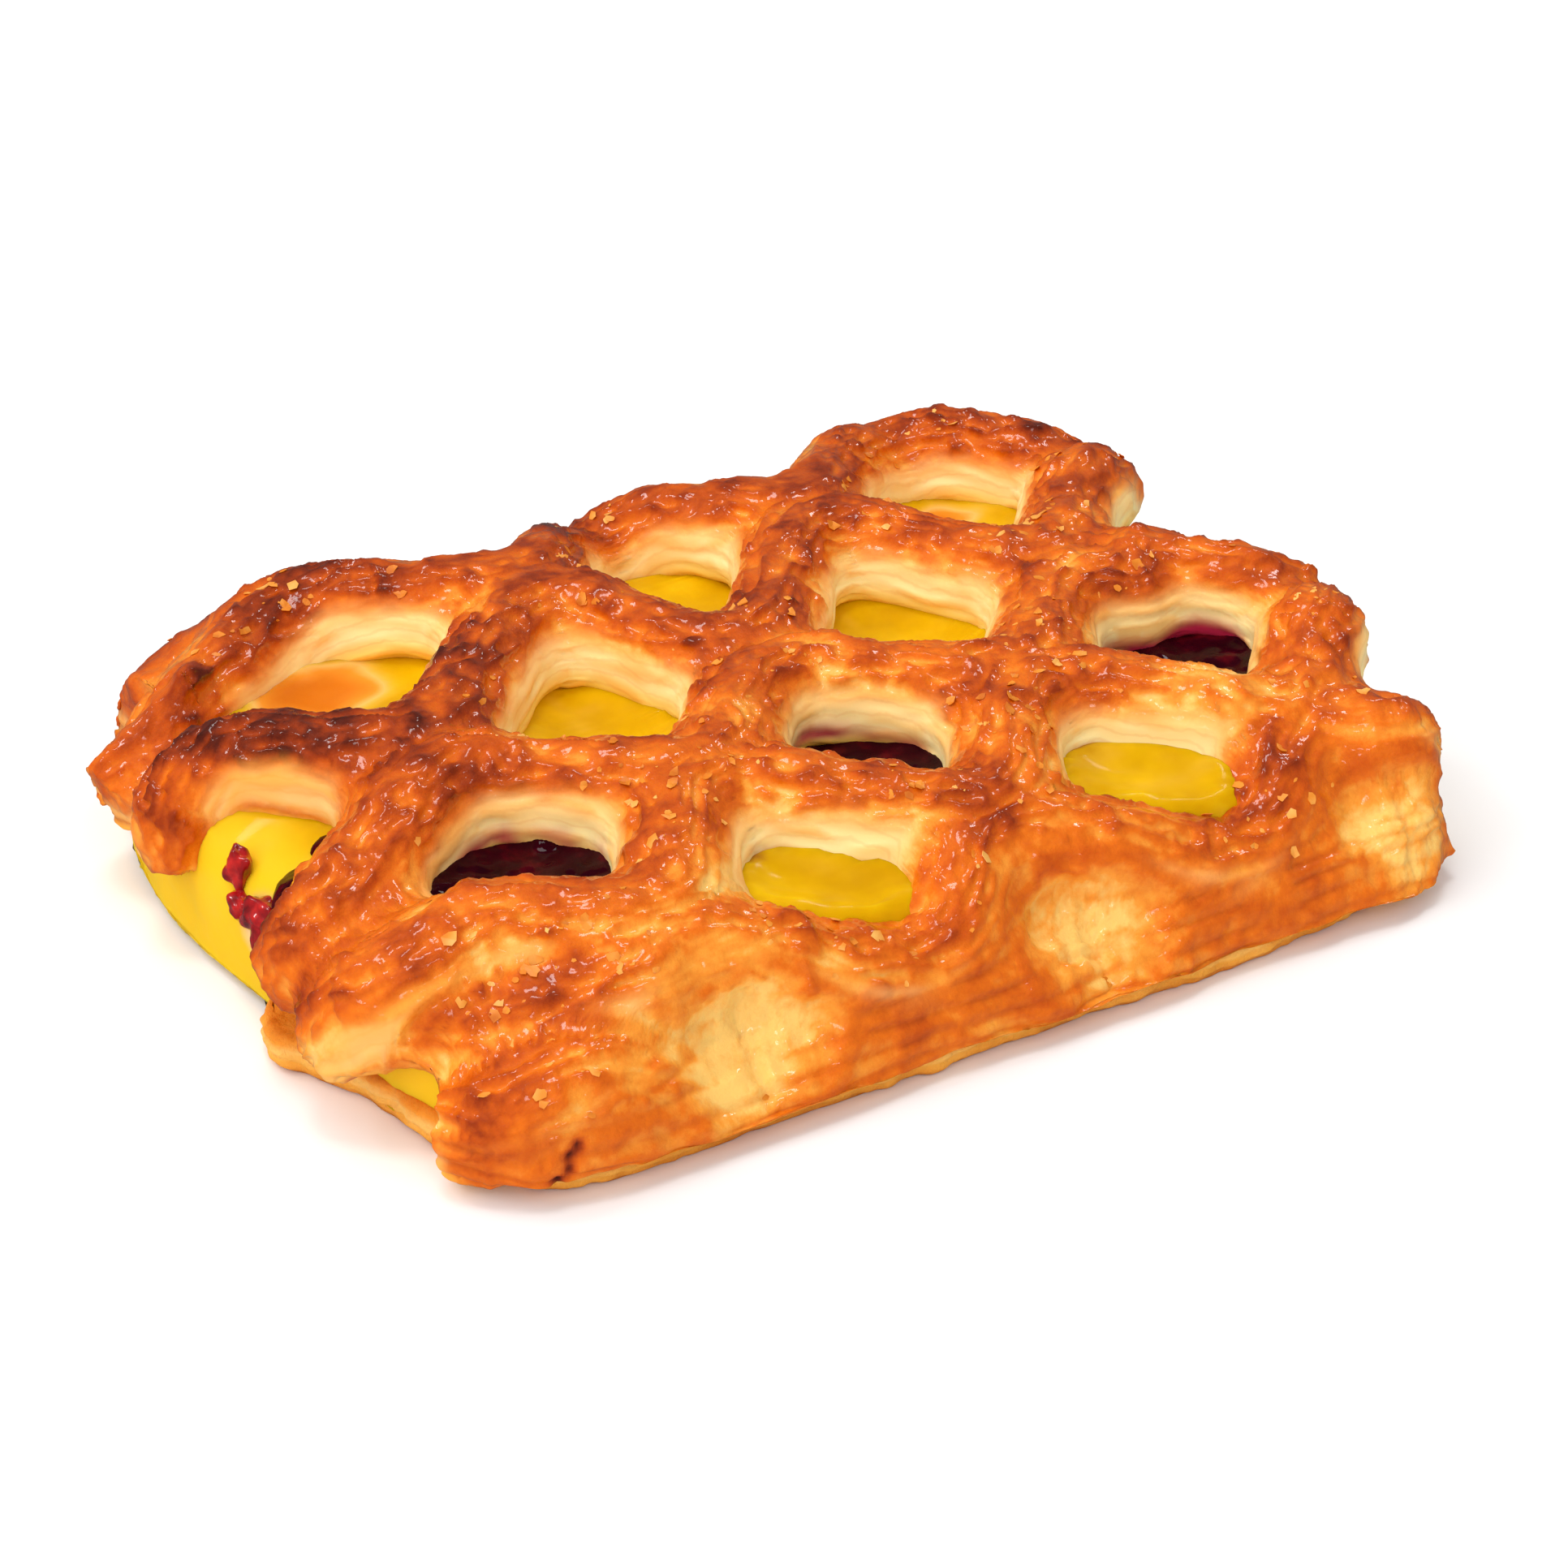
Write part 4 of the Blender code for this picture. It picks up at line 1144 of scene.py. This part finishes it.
# %% Crust colour
MASKS = ("brown", "crust", "stain", "layer", "fibre", "scorch")
crust_dough, tree, surface = new_material(
    "egg_washed_layered_dough", Coat_Roughness=0.12, Coat_IOR=1.5, Specular_IOR_Level=0.10,
    Subsurface_Weight=0.15, Subsurface_Scale=2 * MM, Subsurface_Radius=(1.0, 0.5, 0.2))
where = add(tree, "NewGeometry").outputs["Position"]
mask = {name: add(tree, "Attribute", {"attribute_name": name}).outputs["Fac"] for name in MASKS}
mottle = add(tree, "TexNoise", {"Scale": grains(2.381), "Detail": 5.0, "Roughness": 0.6},
             Vector=where)
specks = add(tree, "TexNoise", {"Scale": grains(0.6667), "Detail": 3.0, "Roughness": 0.7},
             Vector=where)
mottled = add(tree, "Math", {"operation": "MULTIPLY_ADD", "in1": 0.28, "in2": -0.14},
              in0=mottle.outputs["Fac"])
toast = add(tree, "Math", {"operation": "ADD"}, in0=mottled.outputs[0], in1=mask["brown"])
fleck = add(tree, "Math", {"operation": "MULTIPLY_ADD", "in1": 0.10, "in2": -0.05},
            in0=specks.outputs["Fac"])
toast = add(tree, "Math", {"operation": "ADD"}, in0=toast.outputs[0], in1=fleck.outputs[0])
crust_colour = add(tree, "ValToRGB", {"stops": (
    (0.00, "#ffca6c"), (0.14, "#f79c34"), (0.30, "#e26e0e"), (0.46, "#c65206"),
    (0.62, "#983404"), (0.80, "#5a1804"), (1.00, "#220805"))}, Fac=toast.outputs[0])
print(crust_dough.name, "reads the masks", ", ".join(mask))

# %% [markdown]
# The cut walls show bread: cream, with a yellow foot that is painted light bounced up from the
# custard, and golden under the crust. Thin darker lines mark the butter layers, about 1.5 mm
# apart and bent by noise, and torn fibres are tinted. Over that come the toasted ends and the
# raspberry stain.

# %% Wall colour
LINE_SPACING = 1.496  # mm
layer_noise = add(tree, "TexNoise", {"Scale": grains(9.091), "Detail": 4.0, "Roughness": 0.6},
                  Vector=where)
layer_wave = add(tree, "Math", {"operation": "MULTIPLY_ADD", "in1": 4.0},
                 in0=layer_noise.outputs["Fac"], in2=mask["layer"])
layer_turn = add(tree, "Math", {"operation": "MULTIPLY", "in1": 2 * math.pi / LINE_SPACING},
                 in0=layer_wave.outputs[0])
layer_line = add(tree, "Math", {"operation": "SINE"}, in0=layer_turn.outputs[0])
wall_level = add(tree, "MapRange", {"From Min": -5.5, "From Max": 3.5}, Value=mask["layer"])
# The yellow stops at the foot of the walls are painted light, bounced up from the custard.
colour = add(tree, "ValToRGB", {"stops": (
    (0.00, "#fbc42c"), (0.22, "#ffdc62"), (0.50, "#ffecaa"), (0.80, "#ffd488"),
    (1.00, "#f49c40"))}, Fac=wall_level.outputs[0]).outputs[0]
dark_line = add(tree, "MapRange", {"From Min": 0.55, "From Max": 1.0, "To Max": 0.16},
                Value=layer_line.outputs[0]).outputs[0]
fibre_tint = add(tree, "MapRange", {"From Min": -0.1, "From Max": 0.7, "To Max": 0.55},
                 Value=mask["fibre"]).outputs[0]
for blend, share, tint in (("MULTIPLY", dark_line, "#dc9c50"), ("MULTIPLY", fibre_tint, "#f6c87c"),
                           ("MIX", mask["scorch"], "#f2982a"), ("MIX", mask["stain"], "#b02446")):
    colour = add(tree, "Mix", {"data_type": "RGBA", "blend_type": blend, "in7": linear(tint)},
                 in0=share, in6=colour).outputs[2]
body = add(tree, "Mix", {"data_type": "RGBA"}, in0=mask["crust"], in6=colour,
           in7=crust_colour.outputs[0])
tree.links.new(body.outputs[2], surface["Base Color"])
print("walls and crust take", len(tree.nodes), "nodes")

# %% [markdown]
# Crust has the coat and an open grain of pores; the walls are nearly bare, with a finer grain.
# The coat's own waves are wider than the pores, because the wash flowed before it dried.

# %% Gloss and grain of the crust
gloss = add(tree, "MapRange", {"To Min": 0.50, "To Max": 0.42}, Value=mask["crust"])
tree.links.new(gloss.outputs[0], surface["Roughness"])
coat = add(tree, "MapRange", {"To Min": 0.15, "To Max": 0.85}, Value=mask["crust"])
tree.links.new(coat.outputs[0], surface["Coat Weight"])
pores = add(tree, "TexNoise", {"Scale": grains(1.4286), "Detail": 5.0, "Roughness": 0.62},
            Vector=where)
grain = add(tree, "Bump", {"Strength": 0.5, "Distance": 0.6 * MM}, Height=pores.outputs["Fac"])
leaf = add(tree, "Bump", {"Strength": 0.2, "Distance": 0.2 * MM}, Height=pores.outputs["Fac"])
pick = add(tree, "Mix", {"data_type": "VECTOR"}, in0=mask["crust"], in4=leaf.outputs[0],
           in5=grain.outputs[0])
tree.links.new(pick.outputs[1], surface["Normal"])
waves = add(tree, "TexNoise", {"Scale": grains(2.941), "Detail": 2.0, "Roughness": 0.5},
            Vector=where)
film = add(tree, "Bump", {"Strength": 0.7, "Distance": 0.7 * MM}, Height=waves.outputs["Fac"])
tree.links.new(film.outputs[0], surface["Coat Normal"])
lattice.data.materials.append(crust_dough)
print(crust_dough.name, "has", len(tree.nodes), "nodes")

# %% [markdown]
# The base is the same dough without the wash: matt, golden, browner along the tray.

# %% Base dough
base_dough, tree, surface = new_material(
    "unwashed_layered_dough", Roughness=0.55, Specular_IOR_Level=0.15,
    Subsurface_Weight=0.08, Subsurface_Scale=2 * MM)
where = add(tree, "NewGeometry").outputs["Position"]
layer = add(tree, "Attribute", {"attribute_name": "layer"}).outputs["Fac"]
mottle = add(tree, "TexNoise", {"Scale": grains(5.5556), "Detail": 5.0, "Roughness": 0.6},
             Vector=where)
level = add(tree, "Math", {"operation": "MULTIPLY_ADD", "in1": 2.2}, in0=mottle.outputs["Fac"],
            in2=layer)
share = add(tree, "MapRange", {"From Min": 0.3, "From Max": 5.6}, Value=level.outputs[0])
side_colour = add(tree, "ValToRGB", {"stops": (
    (0.00, "#8a3a08"), (0.14, "#d87a1c"), (0.40, "#f2a840"), (0.62, "#f6bc62"),
    (0.80, "#ea9430"), (1.00, "#cc6a12"))}, Fac=share.outputs[0])
tree.links.new(side_colour.outputs[0], surface["Base Color"])
pores = add(tree, "TexNoise", {"Scale": grains(1.6667), "Detail": 4.0, "Roughness": 0.65},
            Vector=where)
grain = add(tree, "Bump", {"Strength": 0.8, "Distance": 0.7 * MM}, Height=pores.outputs["Fac"])
tree.links.new(grain.outputs[0], surface["Normal"])
base.data.materials.append(base_dough)
print(base_dough.name, "has", len(tree.nodes), "nodes")

# %% [markdown]
# Custard is egg, milk and sugar that has set: light goes well into it and comes out warmer, and
# its skin is smooth and moist. Where it bulged up into a hole it caught the heat and browned.

# %% Custard
custard_body, tree, surface = new_material(
    "set_egg_custard", Roughness=0.35, Specular_IOR_Level=0.05,
    Coat_Weight=0.25, Coat_Roughness=0.10, Coat_IOR=1.33,
    Subsurface_Weight=0.45, Subsurface_Scale=3 * MM, Subsurface_Radius=(1.0, 0.7, 0.15))
where = add(tree, "NewGeometry").outputs["Position"]
mask = {name: add(tree, "Attribute", {"attribute_name": name}).outputs["Fac"]
        for name in ("patch", "blush", "thin_end", "rose")}
cloud = add(tree, "TexNoise", {"Scale": grains(6.6667), "Detail": 3.0}, Vector=where)
yellow = add(tree, "ValToRGB", {"stops": (
    (0.30, "#c89400"), (0.55, "#d6a400"), (0.80, "#e6b608"))}, Fac=cloud.outputs["Fac"])
# Painted light: a lighter yellow on the nose at the open end.
lit = add(tree, "Mix", {"data_type": "RGBA", "in7": linear("#ecbc1c")}, in0=mask["thin_end"],
          in6=yellow.outputs[0])
browned = add(tree, "ValToRGB", {"stops": (
    (0.0, "#efbc30"), (0.35, "#f2b860"), (0.60, "#ea9028"), (1.0, "#d47010"))}, Fac=mask["patch"])
spread = add(tree, "MapRange", {"From Max": 0.35}, Value=mask["patch"])
toasted = add(tree, "Mix", {"data_type": "RGBA"}, in0=spread.outputs[0], in6=lit.outputs[2],
              in7=browned.outputs[0])
pinked = add(tree, "Mix", {"data_type": "RGBA", "in7": linear("#8e1a2c")}, in0=mask["blush"],
             in6=toasted.outputs[2])
rosy = add(tree, "Mix", {"data_type": "RGBA", "in7": linear("#f2c898")}, in0=mask["rose"],
           in6=pinked.outputs[2])
tree.links.new(rosy.outputs[2], surface["Base Color"])
skin = add(tree, "TexNoise", {"Scale": grains(2), "Detail": 3.0}, Vector=where)
dents = add(tree, "Bump", {"Strength": 0.18, "Distance": 0.3 * MM}, Height=skin.outputs["Fac"])
tree.links.new(dents.outputs[0], surface["Normal"])
custard.data.materials.append(custard_body)
print(custard_body.name, "has", len(tree.nodes), "nodes")

# %% [markdown]
# Raspberry pulp is nearly black where it is thick and bright red where light gets through its
# thin rims. A wet, clear skin gives it small sharp highlights. A loose flake is one leaf of dough,
# dried right through: pale gold, browner in places, with a satin sheen. The three are alike in
# one thing: a noise picks their colour from a ramp. So one loop makes them.

# %% Raspberry, torn raspberry and flakes
SIMPLE_FINISHES = (
    (raspberry, "cooked_raspberry_pulp", 3.0303, 3.0,
     ((0.30, "#1e0108"), (0.55, "#2e020c"), (0.80, "#560610")),
     {"Roughness": 0.30, "Specular_IOR_Level": 0.0, "Coat_Weight": 0.35, "Coat_Roughness": 0.04,
      "Coat_IOR": 1.35, "Subsurface_Weight": 0.08, "Subsurface_Scale": 1.2 * MM,
      "Subsurface_Radius": (1.0, 0.12, 0.12)}),
    (torn_fruit, "thin_torn_raspberry", 1.6667, 3.0,
     ((0.30, "#5c0408"), (0.50, "#9c0a10"), (0.75, "#d42018")),
     {"Roughness": 0.25, "Coat_Weight": 0.9, "Coat_Roughness": 0.05, "Subsurface_Weight": 0.2,
      "Subsurface_Scale": 0.8 * MM, "Subsurface_Radius": (1.0, 0.15, 0.12)}),
    (flakes, "dried_dough_flake", 3.8462, 2.0,
     ((0.30, "#c8640f"), (0.50, "#ea8a28"), (0.72, "#f8b860")),
     {"Roughness": 0.38, "Specular_IOR_Level": 0.4, "Subsurface_Weight": 0.1,
      "Subsurface_Scale": 1 * MM}),
)
for piece, name, size, detail, stops, values in SIMPLE_FINISHES:
    finish, tree, surface = new_material(name, **values)
    where = add(tree, "NewGeometry").outputs["Position"]
    tint = add(tree, "TexNoise", {"Scale": grains(size), "Detail": detail}, Vector=where)
    colour = add(tree, "ValToRGB", {"stops": stops}, Fac=tint.outputs["Fac"])
    tree.links.new(colour.outputs[0], surface["Base Color"])
    piece.data.materials.append(finish)
    print(piece.name, "is made of", name)

# %% [markdown]
# ## Handing the pieces over
#
# Each piece rides on the model's one body, and each of the four large pieces replaces the solid
# that it stands for.

# %% Ride and replace
for piece, node, material_slot in ((lattice, "lattice", "lattice_crust"),
                                   (base, "base", "base_crust"),
                                   (custard, "custard", "custard_filling"),
                                   (raspberry, "raspberry", "raspberry_filling")):
    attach(piece, "root")
    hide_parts(node)
for piece, material_slot in ((flakes, "lattice_crust"), (torn_fruit, "raspberry_filling")):
    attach(piece, "root")
